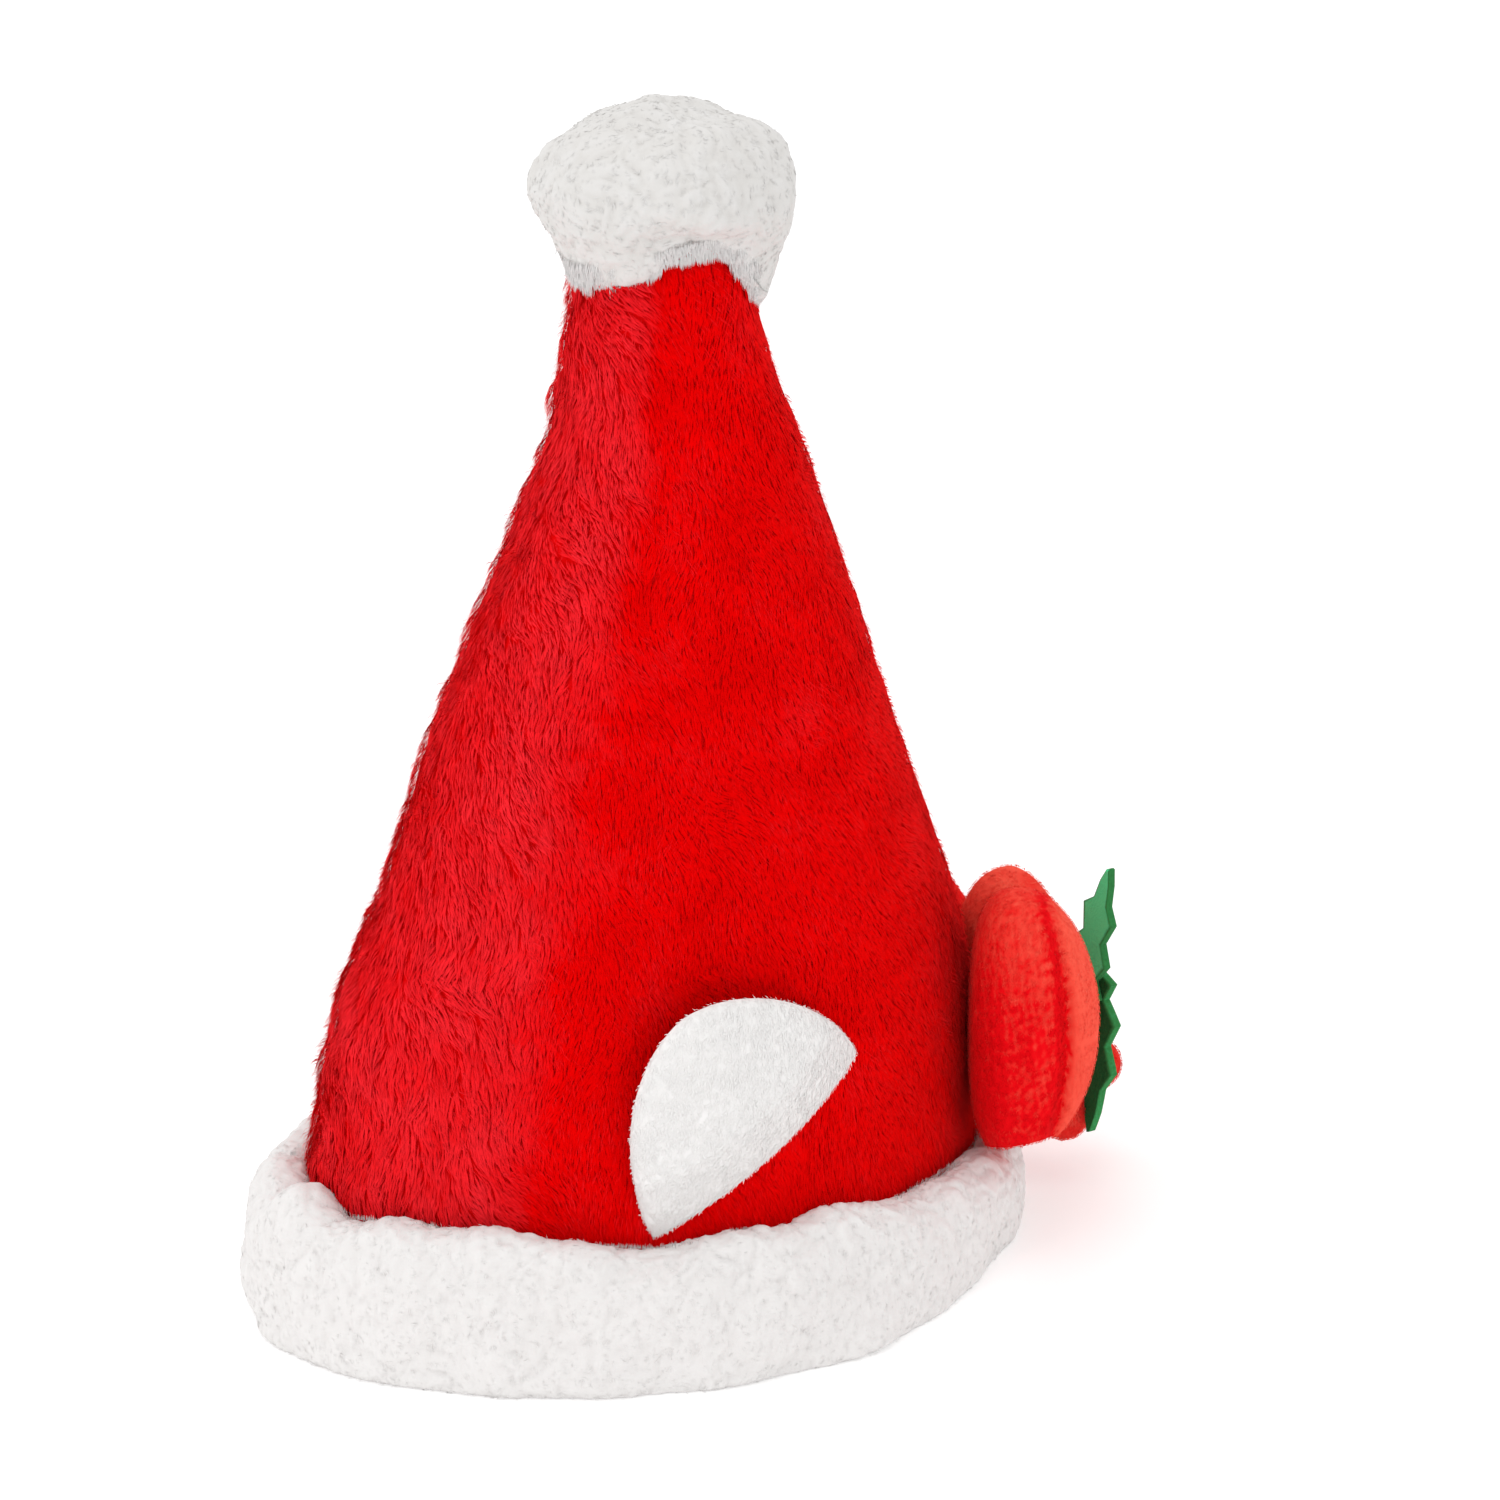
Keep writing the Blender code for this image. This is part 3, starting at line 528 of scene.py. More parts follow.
def sherpa_relief(points, size, seed):
    """How high sherpa's curls stand, from 0 to 1: round domes about size across, with
    domes of half that size on them, at places that are warped by a smooth wander."""
    warped = points + 0.35 * size * np.stack(
        [wander(points, 2.2 * size, seed + k) for k in range(3)], -1)
    large, _, number = locks(warped, size, seed)
    small, _, _ = locks(warped, 0.5 * size, seed + 9)
    dome = np.clip(1 - (large / 0.8) ** 2, 0, 1) * (0.7 + 0.3 * number)
    return 0.62 * dome + 0.38 * np.clip(1 - (small / 0.8) ** 2, 0, 1)


def sherpa_rise(points, curls, swells, seed):
    """Sherpa's relief, and how high it stands off its surface: the curls' height times the
    relief, on swells of the padding, which wander. curls and swells are (size, height)."""
    relief = sherpa_relief(points, curls[0], seed)
    return relief, curls[1] * relief + swells[1] * wander(points, swells[0], seed + 1)


def grid_normals(grid):
    """Unit normals of a grid of points whose columns close on themselves."""
    along = np.roll(grid, -1, 1) - np.roll(grid, 1, 1)
    return unit(np.cross(along, np.gradient(grid, axis=0)))


white_sherpa = fabric("white sherpa", [(0.72, 0.695, 0.68), (0.77, 0.75, 0.74),
                                       (0.81, 0.795, 0.785)],
                      0.95, (0.0, (1.0, 1.0, 1.0)), (90, 0.12), (1100, 0.1), 0.3)
band_a = np.linspace(0, 1, band_columns, endpoint=False)
band_b = np.linspace(0, 1, band_rows, endpoint=False)[:, None]
band_grid = band_face(band_a, band_b)
band_out = grid_normals(band_grid)
band_out *= np.sign(np.mean(np.sum(band_out[20:40] * (band_grid - hat_middle)[20:40], -1)))
band_relief, band_swell = sherpa_rise(band_grid, band_curls, band_swells, 21)
band_loose = np.clip((band_b - 0.14) / 0.05, 0, 1) * np.clip((0.93 - band_b) / 0.05, 0, 1)
band_points = band_grid + band_out * (band_swell * band_loose)[..., None]
band_points[..., 2] = np.maximum(band_points[..., 2], 0)
band_points = band_points.reshape(-1, 3)
band_faces = outward(band_points, closed_grid(band_rows, band_columns, False))
# Painted shade: the tone falls in the hollows between the curls
band_cloth = made("band_cloth", band_points, band_faces, white_sherpa, 0.3 + 0.6 * band_relief)
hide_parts("band")
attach(band_cloth, "root")


def sherpa_pile(name, surface, count, b_range, length, finish, curls, swells, seed):
    """Short curled fibres that lie almost flat on sherpa's curls, which have the sizes of
    the cloth below. Each leans towards its curl's middle, turned an eighth of the way round
    it, so the fibres swirl."""
    a, b = scattered(surface, count, (0, 1), b_range, seed + 2)
    roots, _, _, out = directions(surface, a, b)
    out *= np.sign(np.mean(np.sum(out * (roots - roots.mean(0)), -1)))
    relief, rise = sherpa_rise(roots, curls, swells, seed)
    _, way, number = locks(roots, curls[0], seed)
    way = way - out * np.sum(way * out, -1, keepdims=True)
    swirl = np.cross(out, way) * np.sign(number - 0.5)[:, None]
    rng = np.random.default_rng(seed + 2)
    lean = unit(way + swirl + 0.8 * MM * rng.normal(size=way.shape))
    lean = unit(lean - out * np.sum(lean * out, -1, keepdims=True))
    # Painted shade: fibres lower on the curls take a lower tone
    points, *others = strands(roots + out * rise[:, None], out, lean, length, 0.3 * MM, 0.08,
                              0.8 + 0.3 * relief, seed + 3)
    points[:, 2] = np.maximum(points[:, 2], 0.1 * MM)
    grown(name, (points, *others), finish)


def fringe(name, surface, count, lean_way, length, lift, seed):
    """Longer fibres along the edge of a piece of sherpa. Each leans a little towards the
    middle of its tuft, 5 mm across, and the fibres of one tuft are of about one length."""
    a, b = scattered(surface, count, (0, 1), (0, 1), seed)
    roots, _, _, out = directions(surface, a, b, 0.004)
    out *= np.sign(np.sum(out * (roots - hat_middle) * (1, 1, 0), -1, keepdims=True))
    tuft = 5 * MM
    _, way, number = locks(roots, tuft, seed)
    lean = unit(lean_way + 0.2 * way / tuft)
    grown(name, strands(roots, out, lean, length * (0.5 + 0.7 * number), 0.25 * MM, lift, 1.0,
                        seed + 1), white_sherpa)


sherpa_pile("band_pile", band_face, 14000, (0.12, 0.88), 1.7 * MM, white_sherpa,
            band_curls, band_swells, 21)
fringe("band_fringe", lambda a, b: band_face(a, 0.80 + 0.12 * b), 9000,
       np.array([0.0, 0.0, 1.0]), 2.8 * MM, 0.4, 25)

# Pompom. A cap of white sherpa with a longer pile, gathered over the tip and sewn down
# along a hem that is higher at the hat's sides, where the red shows in a point below it.

pompom_length, pompom_width = 82 * MM, 76 * MM
pompom_top, pompom_waist = 363 * MM, 335 * MM
hem_thick, hem_sag, pompom_clear, sherpa_over = 4 * MM, 7 * MM, 0.6 * MM, 3 * MM
pompom_curls, pompom_swells = (7 * MM, 1.6 * MM), (26 * MM, 0.9 * MM)
pompom_columns, pompom_rows = 330, 120
pompom_sherpa = fabric("pompom sherpa", [(0.62, 0.60, 0.585), (0.67, 0.655, 0.635),
                                         (0.72, 0.71, 0.70)],
                       0.95, (0.0, (1.0, 1.0, 1.0)), (90, 0.12), (1100, 0.1), 0.3)


def pompom_face(a, b):
    """The cap's outer face, as b runs from 0 at its top to 1 at its hem: half widths grow
    as the sine of an angle that ends at 150 degrees, and heights follow its cosine down to
    the hem. The bottom sags by a bell curve about b = 0.90, and the last part draws in to
    the crown as the 12th power of b."""
    turn = 2 * np.pi * a
    turn, b = np.broadcast_arrays(turn, b)
    hem = pompom_hem(turn)
    end = math.radians(150)
    angle = end * np.clip(b, 0, 1)
    height = np.where(
        angle < math.pi / 2,
        pompom_waist + (pompom_top - sherpa_over - pompom_waist) * np.cos(angle),
        pompom_waist + (hem - pompom_waist) * np.cos(angle) / math.cos(end))
    middle = crown_reach(np.minimum(height, crown_tip))[0]
    ball = np.stack([-(pompom_width / 2 - sherpa_over) * np.sin(angle) * np.sin(turn),
                     middle - (pompom_length / 2 - sherpa_over) * np.sin(angle) * np.cos(turn),
                     height], -1)
    ball[..., 2] -= hem_sag * np.exp(-(((b - 0.90) / 0.07) ** 2))
    edge = crown_place(turn, hem, hem_thick)
    return ball + (edge - ball) * (np.clip(b, 0, 1) ** 12)[..., None] + hat_middle


pompom_a = np.linspace(0, 1, pompom_columns, endpoint=False)
pompom_b = np.linspace(0.012, 1, pompom_rows)[:, None]
pompom_grid = pompom_face(pompom_a, pompom_b)
pompom_out = grid_normals(pompom_grid)
pompom_out *= np.sign(np.mean(pompom_out[:30, :, 2]))
pompom_relief, pompom_swell = sherpa_rise(pompom_grid, pompom_curls, pompom_swells, 31)
pompom_loose = np.clip(pompom_b / 0.03, 0, 1) * np.clip((1.01 - pompom_b) / 0.04, 0, 1)
pompom_outer = pompom_grid + pompom_out * (pompom_swell * pompom_loose)[..., None]
hem_heights = pompom_grid[-1, :, 2]
neck_heights = np.array([0.945, 0.965, 0.98, 0.99])[:, None] * crown_tip
cavity_heights = np.concatenate([
    hem_heights + (neck_heights[0] - hem_heights) * np.linspace(0, 0.9, 8)[:, None],
    np.broadcast_to(neck_heights, (4, pompom_columns))])
pompom_inner = crown_place(2 * np.pi * pompom_a, cavity_heights, pompom_clear) + hat_middle
pompom_ends = [hat_middle + (0, tip_middle[0], height)
               for height in (pompom_top - 1 * MM, crown_tip + pompom_clear)]
# Painted shade: the outer face's tone falls in the hollows between the curls
pompom_shaded_tone = np.concatenate([0.3 + 0.6 * pompom_relief.ravel(),
                              np.full(pompom_inner.size // 3 + 2, 0.4)])
pompom_cloth = closed_body("pompom_cloth", np.concatenate([pompom_outer, pompom_inner]),
                           pompom_ends, pompom_sherpa, pompom_shaded_tone)
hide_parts("pompom")
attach(pompom_cloth, "root")
sherpa_pile("pompom_pile", pompom_face, 5000, (0.02, 0.95), 2.0 * MM, pompom_sherpa,
            pompom_curls, pompom_swells, 31)
fringe("pompom_fringe", lambda a, b: pompom_face(a, 0.82 + 0.10 * b), 14000,
       np.array([0.0, 0.0, -1.0]), 3.2 * MM, 0.15, 35)

# Ears. Two half rounds of short white plush, lightly padded, each sewn to the crown's side
# along its straight edge, which slopes, with its round edge free and standing off a little.

ear_length, ear_height, ear_thick, ear_seam_thick = 84 * MM, 55 * MM, 10 * MM, 0.42
ear_tilt, ear_back, ear_above_band = math.radians(30), -1.0 * MM, 22 * MM
ear_lift, ear_fullness = 9 * MM, 1.74
white_plush = fabric("white short plush", [(0.83, 0.82, 0.81), (0.88, 0.87, 0.86),
                                           (0.91, 0.90, 0.89)],
                     0.95, (0.0, (1.0, 1.0, 1.0)), (70, 0.08), (1300, 0.08), 0.25)


def ear_place(along, up, face, hand):
    """A point of a padded half round on the plane of the hat's side, carried out to the
    crown. Its padding is the square root of 1 - |along|^f - up^f, thinner at the seam, and
    it stands off the crown as the square of up."""
    across_y, away = ear_length / 2 * along, ear_height * up
    y = ear_back - across_y * math.cos(ear_tilt) + away * math.sin(ear_tilt)
    z = (band_height_side + ear_above_band + across_y * math.sin(ear_tilt)
         + away * math.cos(ear_tilt))
    inside = np.sqrt(np.clip(1 - np.abs(along) ** ear_fullness - up ** ear_fullness, 0, 1))
    plump = ear_seam_thick + (1 - ear_seam_thick) * np.clip(3 * up, 0, 1)
    thick = ear_thick * inside * plump
    off = sewn_gap + ridge_out * np.clip(up * 3, 0, 1) + ear_lift * up ** 2 + thick / 2
    middle, long, side, power = crown_reach(z)
    share = np.clip(np.abs(y - middle) / long, 0, 0.999)
    reach = side * (1 - share ** power) ** (1 / power) + off + face * thick / 2
    return np.stack([-hand * reach, y, z], -1) + hat_middle


def ear_face(hand):
    """The ear's outer face: a runs along its seam and b from the seam to its round edge."""
    def face(a, b):
        along = np.sin((2 * np.clip(a, 0.001, 0.999) - 1) * np.pi / 2)
        top = (1 - np.abs(along) ** ear_fullness) ** (1 / ear_fullness)
        return ear_place(along, top * np.sin(np.clip(b, 0, 1) * np.pi / 2), 1, hand)
    return face


def short_pile(name, surface, count, out_way, lean_way, length, width, lift, tone, finish,
               seed):
    """Short nap on a small piece: fibres that lean down one way, and a little at random.
    tone is a function of the roots."""
    a, b = scattered(surface, count, (0.004, 0.996), (0.004, 0.996), seed)
    roots, _, _, out = directions(surface, a, b, 0.003)
    out = out * np.sign(np.sum(out * out_way(roots), -1, keepdims=True))
    rng = np.random.default_rng(seed)
    lean = lean_way + 0.35 * rng.normal(size=roots.shape)
    lean = unit(lean - out * np.sum(lean * out, -1, keepdims=True))
    grown(name, strands(roots + 0.15 * MM * out, out, lean, length, width, lift, tone(roots),
                        seed + 1, (0.95, 1.0, 1.05)), finish)


for ear, hand in (("ear_right", 1), ("ear_left", -1)):
    along = np.sin(np.linspace(-1, 1, 98)[1:-1] * np.pi / 2)[:, None]
    edge = (1 - np.abs(along) ** ear_fullness) ** (1 / ear_fullness)
    up = np.sin(np.linspace(0, 1, 40) * np.pi / 2)
    rings = np.concatenate([ear_place(along, edge * up, 1, hand),
                            ear_place(along, edge * up[-2::-1], -1, hand)], 1)
    ends = ear_place(np.array([-1.0, 1.0]), 0.0, 1, hand)
    dents = 0.12 * MM * wander(rings, 16 * MM, 41) * np.sin(np.linspace(0, np.pi, rings.shape[1]))
    piece = closed_body(ear + "_cloth", rings + np.array([-hand, 0, 0]) * dents[..., None], ends,
                        white_plush, lambda p: 0.62 + 0.02 * wander(p, 9 * MM, 42))
    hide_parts(ear)
    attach(piece, "root")
    short_pile(ear + "_pile", ear_face(hand), 12000,
               lambda p, hand=hand: np.broadcast_to([-hand, 0.0, 0.2], p.shape),
               np.array([0.0, 0.2, -0.8]), 1.5 * MM, 0.3 * MM, 0.12,
               lambda p: 0.65 + 0.02 * wander(p, 6 * MM, 43), white_plush, 44)

# Bow knot. An upright roll of coral-red short plush, stuffed, wrapped round the bow's
# middle and sewn to the crown's front; its back is pressed flat against the crown.

bow_sideways, bow_height, bow_stand_off = -8 * MM, 67 * MM, 2.5 * MM
knot_width, knot_depth, knot_height, knot_top_less = 34 * MM, 37 * MM, 72 * MM, 0.6
band_curl = 1.6 * MM
coral_plush = fabric("coral plush", [(0.60, 0.0003, 0.003), (0.82, 0.004, 0.008),
                                     (0.95, 0.12, 0.075)],
                     0.9, (0.05, (1.0, 0.45, 0.35)), (120, 0.1), (1500, 0.12), 0.25)


def crown_front_at(x, z):
    """The Y of the crown's front at a place sideways."""
    middle, long, side, power = crown_reach(z)
    share = np.clip(np.abs(x) / side, 0, 0.999)
    return middle - long * (1 - share ** power) ** (1 / power)


def rested(points, gap):
    """Points pressed forward where they would sink into the crown's front or the band."""
    x, z = points[..., 0], points[..., 2]
    crown = crown_front_at(x, z) - sewn_gap
    top = band_height(crown) * 1.04
    out = band_thick_front + band_curl + bow_stand_off
    up = np.clip((z - top) / bow_stand_off, 0, 1)
    share = 1 - up * up * (3 - 2 * up)
    hem = crown_front_at(x, np.minimum(z, band_height_front)) - out * 1.05
    limit = np.where(share > 0, crown + (np.minimum(hem, crown) - crown) * share, crown)
    pressed = points.copy()
    pressed[..., 1] = np.minimum(points[..., 1], limit - gap)
    return pressed


knot_middle = np.array([bow_sideways, 0, bow_height])
knot_middle[1] = crown_front_at(bow_sideways, bow_height) - sewn_gap - knot_depth / 2


def knot_face(a, b):
    """The knot: rounded rings whose half widths follow cos^0.7 of an angle that climbs from
    -88 to 88 degrees, less deep in front towards the top."""
    angle = np.radians(-88 + 176 * np.clip(b, 0, 1))
    around = 2 * np.pi * a
    wide = np.cos(angle) ** 0.7
    less = knot_top_less * np.maximum(np.sin(angle), 0) ** 2
    x = knot_width / 2 * wide * np.sign(np.cos(around)) * np.abs(np.cos(around)) ** 0.8
    y = (knot_depth / 2 + MM) * wide * np.sign(np.sin(around)) * np.abs(np.sin(around)) ** 0.8
    y = y * np.where(y < 0, 1 - less, 1)
    x, y, z = np.broadcast_arrays(x, y, knot_height / 2 * np.sin(angle))
    return rested(knot_middle + np.stack([x, y, z], -1), sewn_gap) + hat_middle


knot_grid = knot_face(np.linspace(0, 1, 72, endpoint=False), np.linspace(0.01, 0.99, 60)[:, None])
knot_ends = [hat_middle + knot_middle + (0, 0, s * knot_height / 2) for s in (-1, 1)]
knot_cloth = closed_body("bow_knot_cloth", knot_grid, knot_ends, coral_plush,
                         lambda p: 0.9 + 0.1 * wander(p, 12 * MM, 51))
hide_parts("bow_knot")
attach(knot_cloth, "root")
short_pile("bow_knot_pile", knot_face, 7000, lambda p: p - (hat_middle + knot_middle),
           np.array([0.2, 0.0, -0.8]), 1.6 * MM, 0.35 * MM, 0.35,
           lambda p: 0.88 + 0.1 * wander(p, 5 * MM, 52), coral_plush, 53)

# Bow loops. Two stuffed loops of the same coral plush, one on each side of the knot, swept
# back round the crown. A crease with parted pile runs down the end of each, where the loop's
# outer and inner faces are sewn together; painted shade darkens the pile along it.

loop_length, loop_depth, loop_height = 60 * MM, 39 * MM, 86 * MM
loop_turn, loop_behind, loop_above, loop_rise = math.radians(30), 8 * MM, 6 * MM, 3 * MM
loop_crease, loop_bend = 5 * MM, 6 * MM
loop_crease_forward, loop_crease_width = 9 * MM, 2.4 * MM
loop_sections = np.array([
    # along, height, depth
    (0.00, 0.34, 0.50),
    (0.10, 0.50, 0.64),
    (0.28, 0.78, 0.86),
    (0.50, 0.97, 1.00),
    (0.68, 1.00, 1.00),
    (0.84, 0.93, 0.86),
    (0.94, 0.76, 0.62),
    (0.99, 0.46, 0.34),
]).T


def beside_knot(points, hand):
    """Points of a loop's inner end pressed against the knot's side."""
    x, y, z = np.moveaxis(points - knot_middle, -1, 0)
    up = np.clip(np.abs(z) / (knot_height / 2), 0, 0.999)
    wide = (1 - up * up) ** 0.35
    share = np.clip(np.abs(y) / ((knot_depth / 2 + MM) * wide), 0, 1)
    limit = knot_width / 2 * wide * (1 - share ** 2.5) ** 0.4 + sewn_gap
    pressed = points.copy()
    pressed[..., 0] += np.where(-hand * x < limit, -hand * limit - x, 0)
    return pressed


def above_band(points):
    """Soft points, pressed up where they would sink into the band's top."""
    top = band_height(crown_front_at(points[..., 0], points[..., 2]) - sewn_gap) * 1.04
    pressed = points.copy()
    pressed[..., 2] = np.maximum(points[..., 2], top + bow_stand_off)
    return pressed


def loop_ways(hand):
    """Where a loop starts, at the knot's side, and its outward and forward directions."""
    return (knot_middle + (-hand * (knot_width / 2 + sewn_gap), loop_behind, loop_above),
            np.array([-hand * math.cos(loop_turn), math.sin(loop_turn), 0]),
            np.array([-hand * math.sin(loop_turn), -math.cos(loop_turn), 0]))


def loop_face(hand):
    """A loop: rings square to its length, b, with half sizes from its sections and a runs
    round them; it bends towards the crown as the square of height, and its end sinks along
    the crease as along^3 * exp(-((front - crease) / width)^2)."""
    start, outward_way, forward_way = loop_ways(hand)

    def face(a, b):
        around, along = np.broadcast_arrays(2 * np.pi * a, np.clip(b, 0, 1) * 0.995)
        tall = loop_height / 2 * eased(along, loop_sections[0], loop_sections[1])
        deep = loop_depth / 2 * eased(along, loop_sections[0], loop_sections[2])
        close = np.sqrt(np.clip((0.995 - along) / 0.03, 0, 1))
        cosine, sine = np.cos(around), np.sin(around)
        front = deep * close * np.sign(cosine) * np.abs(cosine) ** 0.9
        up = tall * close * np.sign(sine) * np.abs(sine) ** 0.9
        groove = np.exp(-(((front - loop_crease_forward) / loop_crease_width) ** 2))
        front = front - loop_bend * (up / (loop_height / 2)) ** 2
        up = up + hand * loop_rise * along
        out = loop_length * along - loop_crease * along ** 3 * groove
        ring = (start + out[..., None] * outward_way + front[..., None] * forward_way
                + up[..., None] * np.array([0, 0, 1]))
        return beside_knot(rested(above_band(ring), sewn_gap + MM), hand) + hat_middle
    return face


def loop_tone(points, hand):
    """Brushed smooth and pale in front of the crease, and granular, redder and darker on the
    crown's side of it: a logistic step, 0.7 mm wide, at the crease. Painted shade darkens it
    further towards the crown and in a line along the crease, and painted light raises its
    tone towards the top."""
    start, _, forward_way = loop_ways(hand)
    away = points - hat_middle - start
    high = away[..., 2] / (loop_height / 2)
    front = np.sum(away * forward_way, -1) + loop_bend * high ** 2
    ragged = front - loop_crease_forward + 0.8 * MM * wander(points, 3 * MM, 64)
    pale = 1 / (1 + np.exp(-ragged / (0.7 * MM)))
    # Painted shade along the crease and towards the crown, and painted light towards the top
    fold = np.exp(-(((ragged + 1.5 * MM) / (2.2 * MM)) ** 2))
    top_light = np.clip(high, 0, 1)
    nubs = wander(points, 2.2 * MM, 65) + 0.5 * wander(points, 5 * MM, 66)
    behind = np.clip(-front / (loop_depth / 2), 0, 1)
    rear_tone, front_tone = 0.52, 0.90
    return (rear_tone + 0.20 * top_light + 0.08 * nubs * (1 - pale) - 0.12 * behind
            + (front_tone - rear_tone - 0.15 * top_light) * pale - 0.30 * fold)


# The rings lie closer together towards the loop's rounded end
loop_rings = np.concatenate([
    np.linspace(0, 0.955, 50), 1 - 0.045 * np.linspace(1, 0, 31)[1:] ** 2])[:, None]
for loop, hand in (("bow_loop_right", 1), ("bow_loop_left", -1)):
    face = loop_face(hand)
    grid = face(np.linspace(0, 1, 96, endpoint=False), loop_rings)
    piece = closed_body(loop + "_cloth", grid, [grid[0].mean(0), grid[-1].mean(0)], coral_plush,
                        lambda p: loop_tone(p, hand))
    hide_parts(loop)
    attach(piece, "root")
    short_pile(loop + "_pile", face, 14000, lambda p, c=grid[40].mean(0): p - c,
               np.array([0.0, 0.3, -0.7]), 1.3 * MM, 0.35 * MM, 0.22,
               lambda p, hand=hand: loop_tone(p, hand), coral_plush, 63)

# Holly leaves. Two leaves cut from thick green felt, with a spiked edge, sewn at their
# bases to the knot's front. The upper one's back is painted pale as if lit, the lower one's
# is painted dark with shade, and their cut edges are painted a green between.

leaf_length, leaf_width, leaf_thick = 52 * MM, 25 * MM, 2.6 * MM
leaf_low_start, leaf_overlap, leaf_sideways, leaf_droop = 11 * MM, 12 * MM, -7 * MM, 10 * MM
upper_leaf_size, upper_leaf_heading, lower_leaf_heading = 0.74, 106.0, 250.0
leaf_outline = np.array([
    # along, half_width
    (0.00, 0.30),
    (0.13, 1.00),
    (0.22, 0.58),
    (0.38, 1.00),
    (0.50, 0.52),
    (0.67, 0.82),
    (0.76, 0.36),
    (0.90, 0.24),
    (1.00, 0.05),
]).T
# Green felt: its lightest colour is painted light on the upper leaf, its deepest painted shade on
# the lower leaf
green_felt = fabric("green felt", [(0.006, 0.06, 0.014), (0.04, 0.24, 0.07),
                                   (0.10, 0.86, 0.36)],
                    0.95, (0.1, (0.6, 1.0, 0.6)), (160, 0.15), (1100, 0.25), 0.6)


def leaf_place(leaf, along, across, front):
    """A point of a leaf: its half width is read off the outline, it lies at its heading in
    the plane of the bow's front, and it droops back as the square of along. front is 0 on
    the face towards the hat and 1 on the other."""
    base, heading, size, droop = leaf
    half = leaf_width / 2 * size * np.interp(along, *leaf_outline)
    length = leaf_length * along
    x = base[0] + length * math.cos(heading) - across * half * math.sin(heading)
    z = base[2] + length * math.sin(heading) + across * half * math.cos(heading)
    y = base[1] + droop * along ** 2 - leaf_thick * front
    x, y, z = np.broadcast_arrays(x, y, z)
    return np.stack([x, y, z], -1) + hat_middle


upper_base = knot_middle - (0, knot_depth / 2 + MM + sewn_gap, 0) + (
    leaf_sideways, 0, -leaf_low_start)
lower_base = upper_base + (0, -leaf_thick - 2 * sewn_gap, leaf_overlap)
upper_leaf = (upper_base, math.radians(upper_leaf_heading), upper_leaf_size, 0.0)
lower_leaf = (lower_base, math.radians(lower_leaf_heading), 1.0, leaf_droop)
# A leaf's rings, a place at each spike among them: across its back face, over one edge,
# back across its front face and over the other edge
along = np.unique(np.concatenate([np.linspace(0, 1, 60), leaf_outline[0]]))[:, None]
across = np.concatenate([
    np.linspace(-1, 1, 13), np.ones(3), np.linspace(1, -1, 13), -np.ones(3)])
front = np.concatenate([np.zeros(13), (0.25, 0.5, 0.75), np.ones(13), (0.75, 0.5, 0.25)])
edge = np.clip((np.abs(across) - 0.9) / 0.1, 0, 1)
front_face_tone = 0.45
# Painted light and shade: the upper leaf's back is painted pale as if lit, the lower one's dark
# with shade, and the cut edges a green between
for name, leaf, back_light_and_shade, edge_light_and_shade in (("holly_leaf_upper", upper_leaf, 1.0, 0.4),
                                         ("holly_leaf_lower", lower_leaf, 0.15, 0.5)):
    grid = leaf_place(leaf, along, across, front)
    ends = leaf_place(leaf, np.array([0.0, 1.0]), 0.0, 0.5)
    side_tone = back_light_and_shade + (front_face_tone - back_light_and_shade) * front
    tone = np.concatenate([np.broadcast_to(side_tone + (edge_light_and_shade - side_tone) * edge,
                                           grid.shape[:2]).ravel(), [edge_light_and_shade, edge_light_and_shade]])
    piece = closed_body(name + "_cloth", grid, ends, green_felt, tone)
    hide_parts(name)
    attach(piece, "root")

# Berries. Two small balls of the same plush as the bow, a little redder, stuffed tight and
# drawn together at their backs, sewn beside the lower leaf.

berry_radius = 8.2 * MM
berry_plush = fabric("berry plush", [(0.60, 0.001, 0.003), (0.84, 0.015, 0.014),
                                     (0.94, 0.12, 0.08)],
                     0.9, (0.06, (1.0, 0.45, 0.35)), (150, 0.15), (1500, 0.15), 0.3)
berry_reach = berry_radius + sewn_gap
berry_upper = (leaf_place(lower_leaf, np.array(0.66), np.array(1.0), 1.0)
               + berry_reach * np.array([0.42, -0.91, 0]))
berry_lower = (leaf_place(lower_leaf, np.array(0.92), np.array(1.0), 0.5)
               + berry_reach * np.array([0.98, 0.42, -0.12]))


def berry_face(middle):
    """A ball: points at radius times the unit direction of a turn round and b from the
    bottom to the top, with shallow puckers, 2% of the radius, round its poles."""
    def face(a, b):
        turn, climb = np.broadcast_arrays(2 * np.pi * a, np.pi * (np.clip(b, 0, 1) - 0.5))
        pucker = 1 - 0.02 * np.sin(7 * turn) * np.sin(climb) ** 8
        way = np.stack([np.cos(climb) * np.cos(turn), np.cos(climb) * np.sin(turn),
                        np.sin(climb)], -1)
        return middle + berry_radius * pucker[..., None] * way
    return face


for name, middle in (("berry_upper", berry_upper), ("berry_lower", berry_lower)):
    face = berry_face(middle)
    grid = face(np.linspace(0, 1, 56, endpoint=False), np.linspace(0.02, 0.98, 32)[:, None])
    ends = [middle + (0, 0, s * berry_radius) for s in (-1, 1)]
    piece = closed_body(name + "_cloth", grid, ends, berry_plush, 0.6)
    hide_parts(name)
    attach(piece, "root")
    short_pile(name + "_pile", face, 2500, lambda p, c=middle: p - c,
               np.array([0.0, 0.2, -0.6]), 1.2 * MM, 0.3 * MM, 0.35,
               lambda p: 0.6 + 0.15 * wander(p, 4 * MM, 71), berry_plush, 72)

# Studio. A white floor in soft white light from all round, with two large soft lamps: the
# key above and behind the hat, at the camera's left, and one overhead. The camera stands
# at the hat's right and a little behind, and looks slightly down.

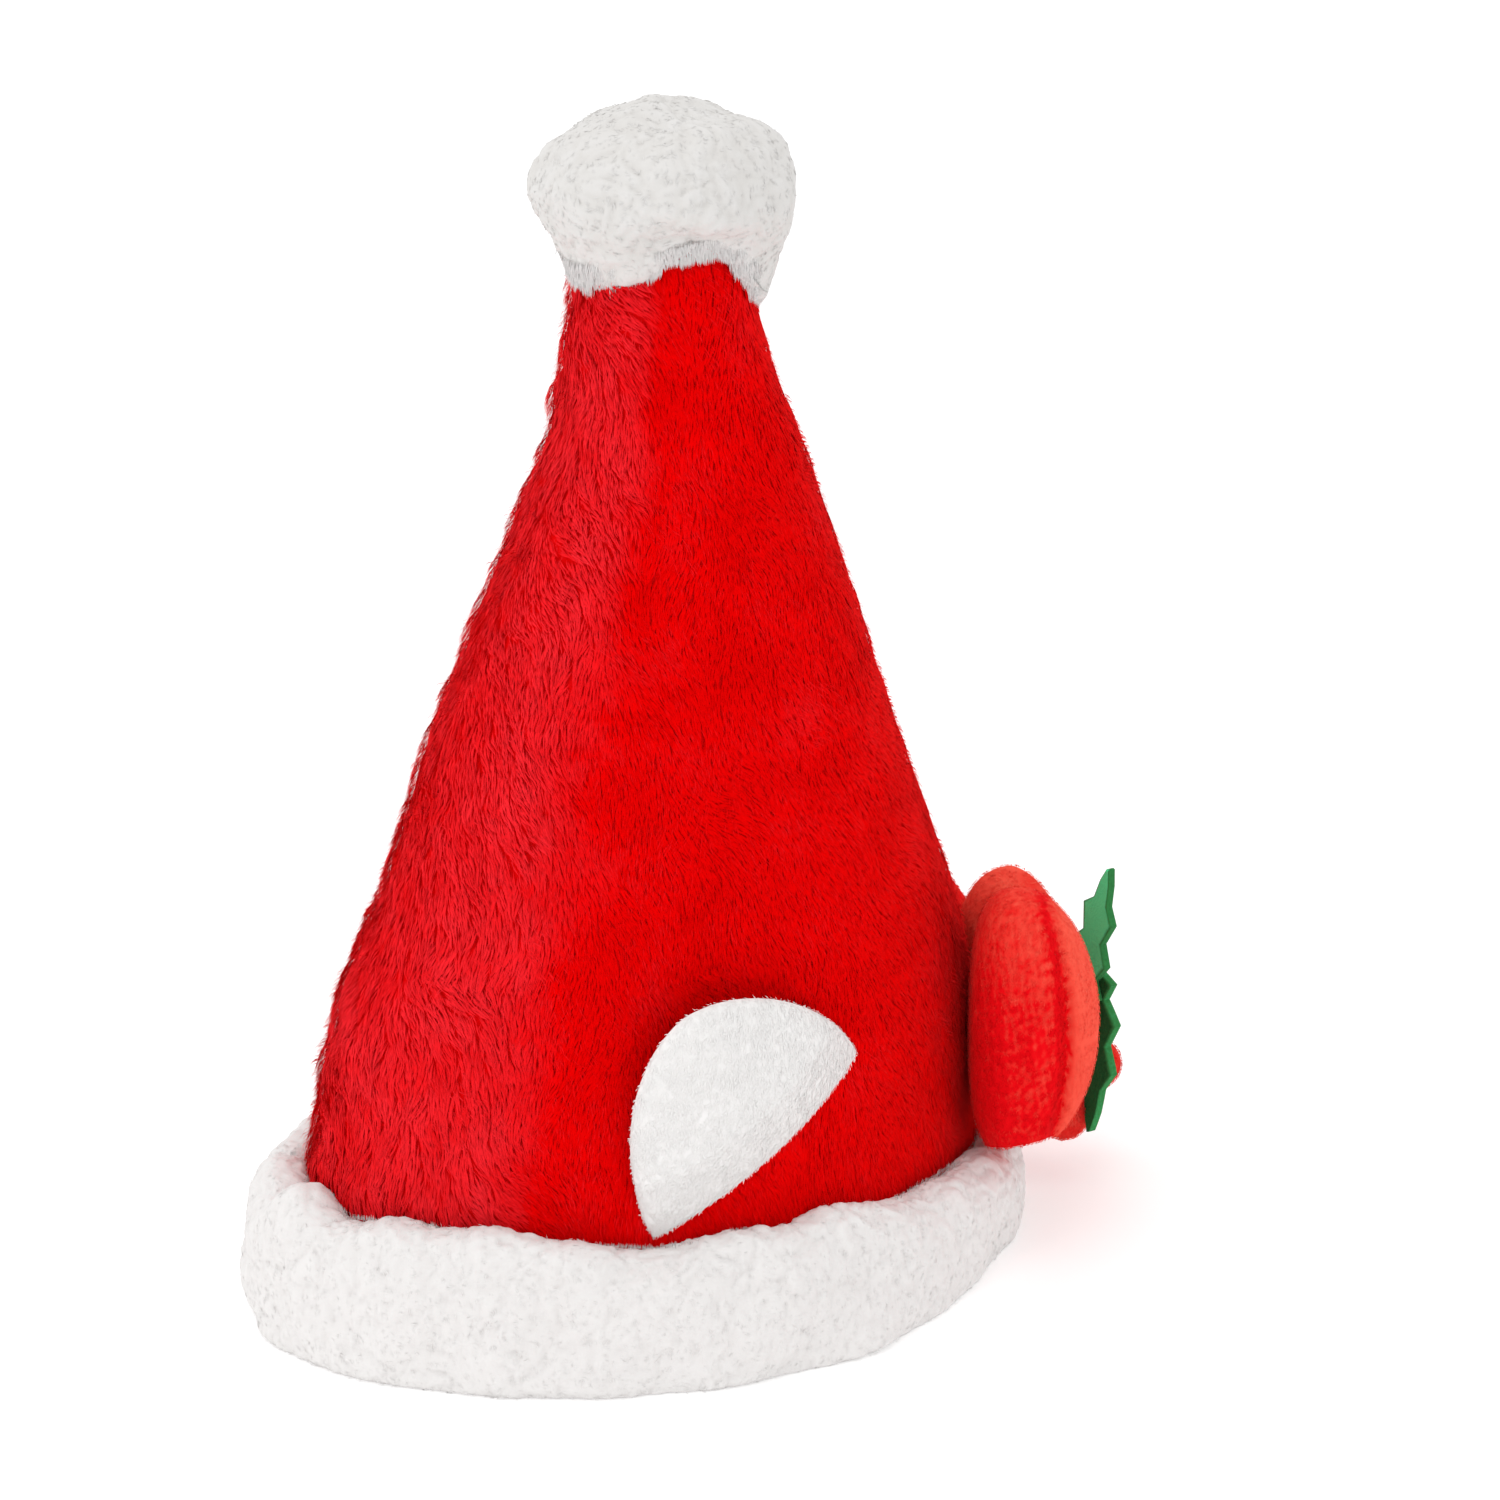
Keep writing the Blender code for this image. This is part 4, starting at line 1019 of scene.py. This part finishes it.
floor_reach = 8.0
floor_finish = bpy.data.materials.new("white floor")
floor_finish.use_nodes = True
floor_shader = floor_finish.node_tree.nodes["Principled BSDF"]
floor_shader.inputs["Base Color"].default_value = (0.93, 0.93, 0.93, 1)
floor_shader.inputs["Roughness"].default_value = 0.95
floor_shader.inputs["Specular IOR Level"].default_value = 0.0
floor_shader.inputs["Emission Color"].default_value = (1, 1, 1, 1)
floor_shader.inputs["Emission Strength"].default_value = 0.2
floor_points = floor_reach * np.array([(-1, -1, 0), (1, -1, 0), (1, 1, 0), (-1, 1, 0)])
floor = made("studio_floor", floor_points, [np.array([[0, 1, 2, 3]])], floor_finish)

world = bpy.data.worlds.new("studio")
world.use_nodes = True
sky = world.node_tree.nodes["Background"]
sky.inputs["Color"].default_value = (1, 1, 1, 1)
sky.inputs["Strength"].default_value = 0.96
bpy.context.scene.world = world
bpy.context.scene.view_settings.view_transform = "Standard"

view_turn, view_rise, view_distance = math.radians(-120.5), math.radians(20.5), 1.5
target = hat_middle + (0, 0, 0.150)
to_camera = np.array([math.sin(view_turn) * math.cos(view_rise),
                      -math.cos(view_turn) * math.cos(view_rise), math.sin(view_rise)])
picture_right = np.array([math.cos(view_turn), math.sin(view_turn), 0])


def lamp(name, place, size, power):
    """A square soft lamp at a place, facing the target."""
    light = bpy.data.lights.new(name, "AREA")
    light.shape, light.size, light.energy = "SQUARE", size, power
    lit = bpy.data.objects.new(name, light)
    bpy.context.scene.collection.objects.link(lit)
    lit.location = place
    lit.rotation_euler = Vector(-unit(place - target)).to_track_quat("-Z", "Y").to_euler()


lamp("key", target + 1.1 * to_camera - 1.2 * picture_right + (0, 0, 0.6), 0.9, 4)
lamp("top", target + (0, 0, 1.8), 1.4, 5)

# The target shows at this column and row of the photo, and the shift brings it there
photo_size, target_column, target_row = 1500, 638, 797
camera_data = bpy.data.cameras.new("camera")
camera_data.lens, camera_data.sensor_width = 120, 36
camera_data.shift_x = (photo_size / 2 - target_column) / photo_size
camera_data.shift_y = (target_row - photo_size / 2) / photo_size
camera = bpy.data.objects.new("camera", camera_data)
bpy.context.scene.collection.objects.link(camera)
camera.location = target + view_distance * to_camera
camera.rotation_mode = "QUATERNION"
camera.rotation_quaternion = Vector(-to_camera).to_track_quat("-Z", "Y")
bpy.context.scene.camera = camera
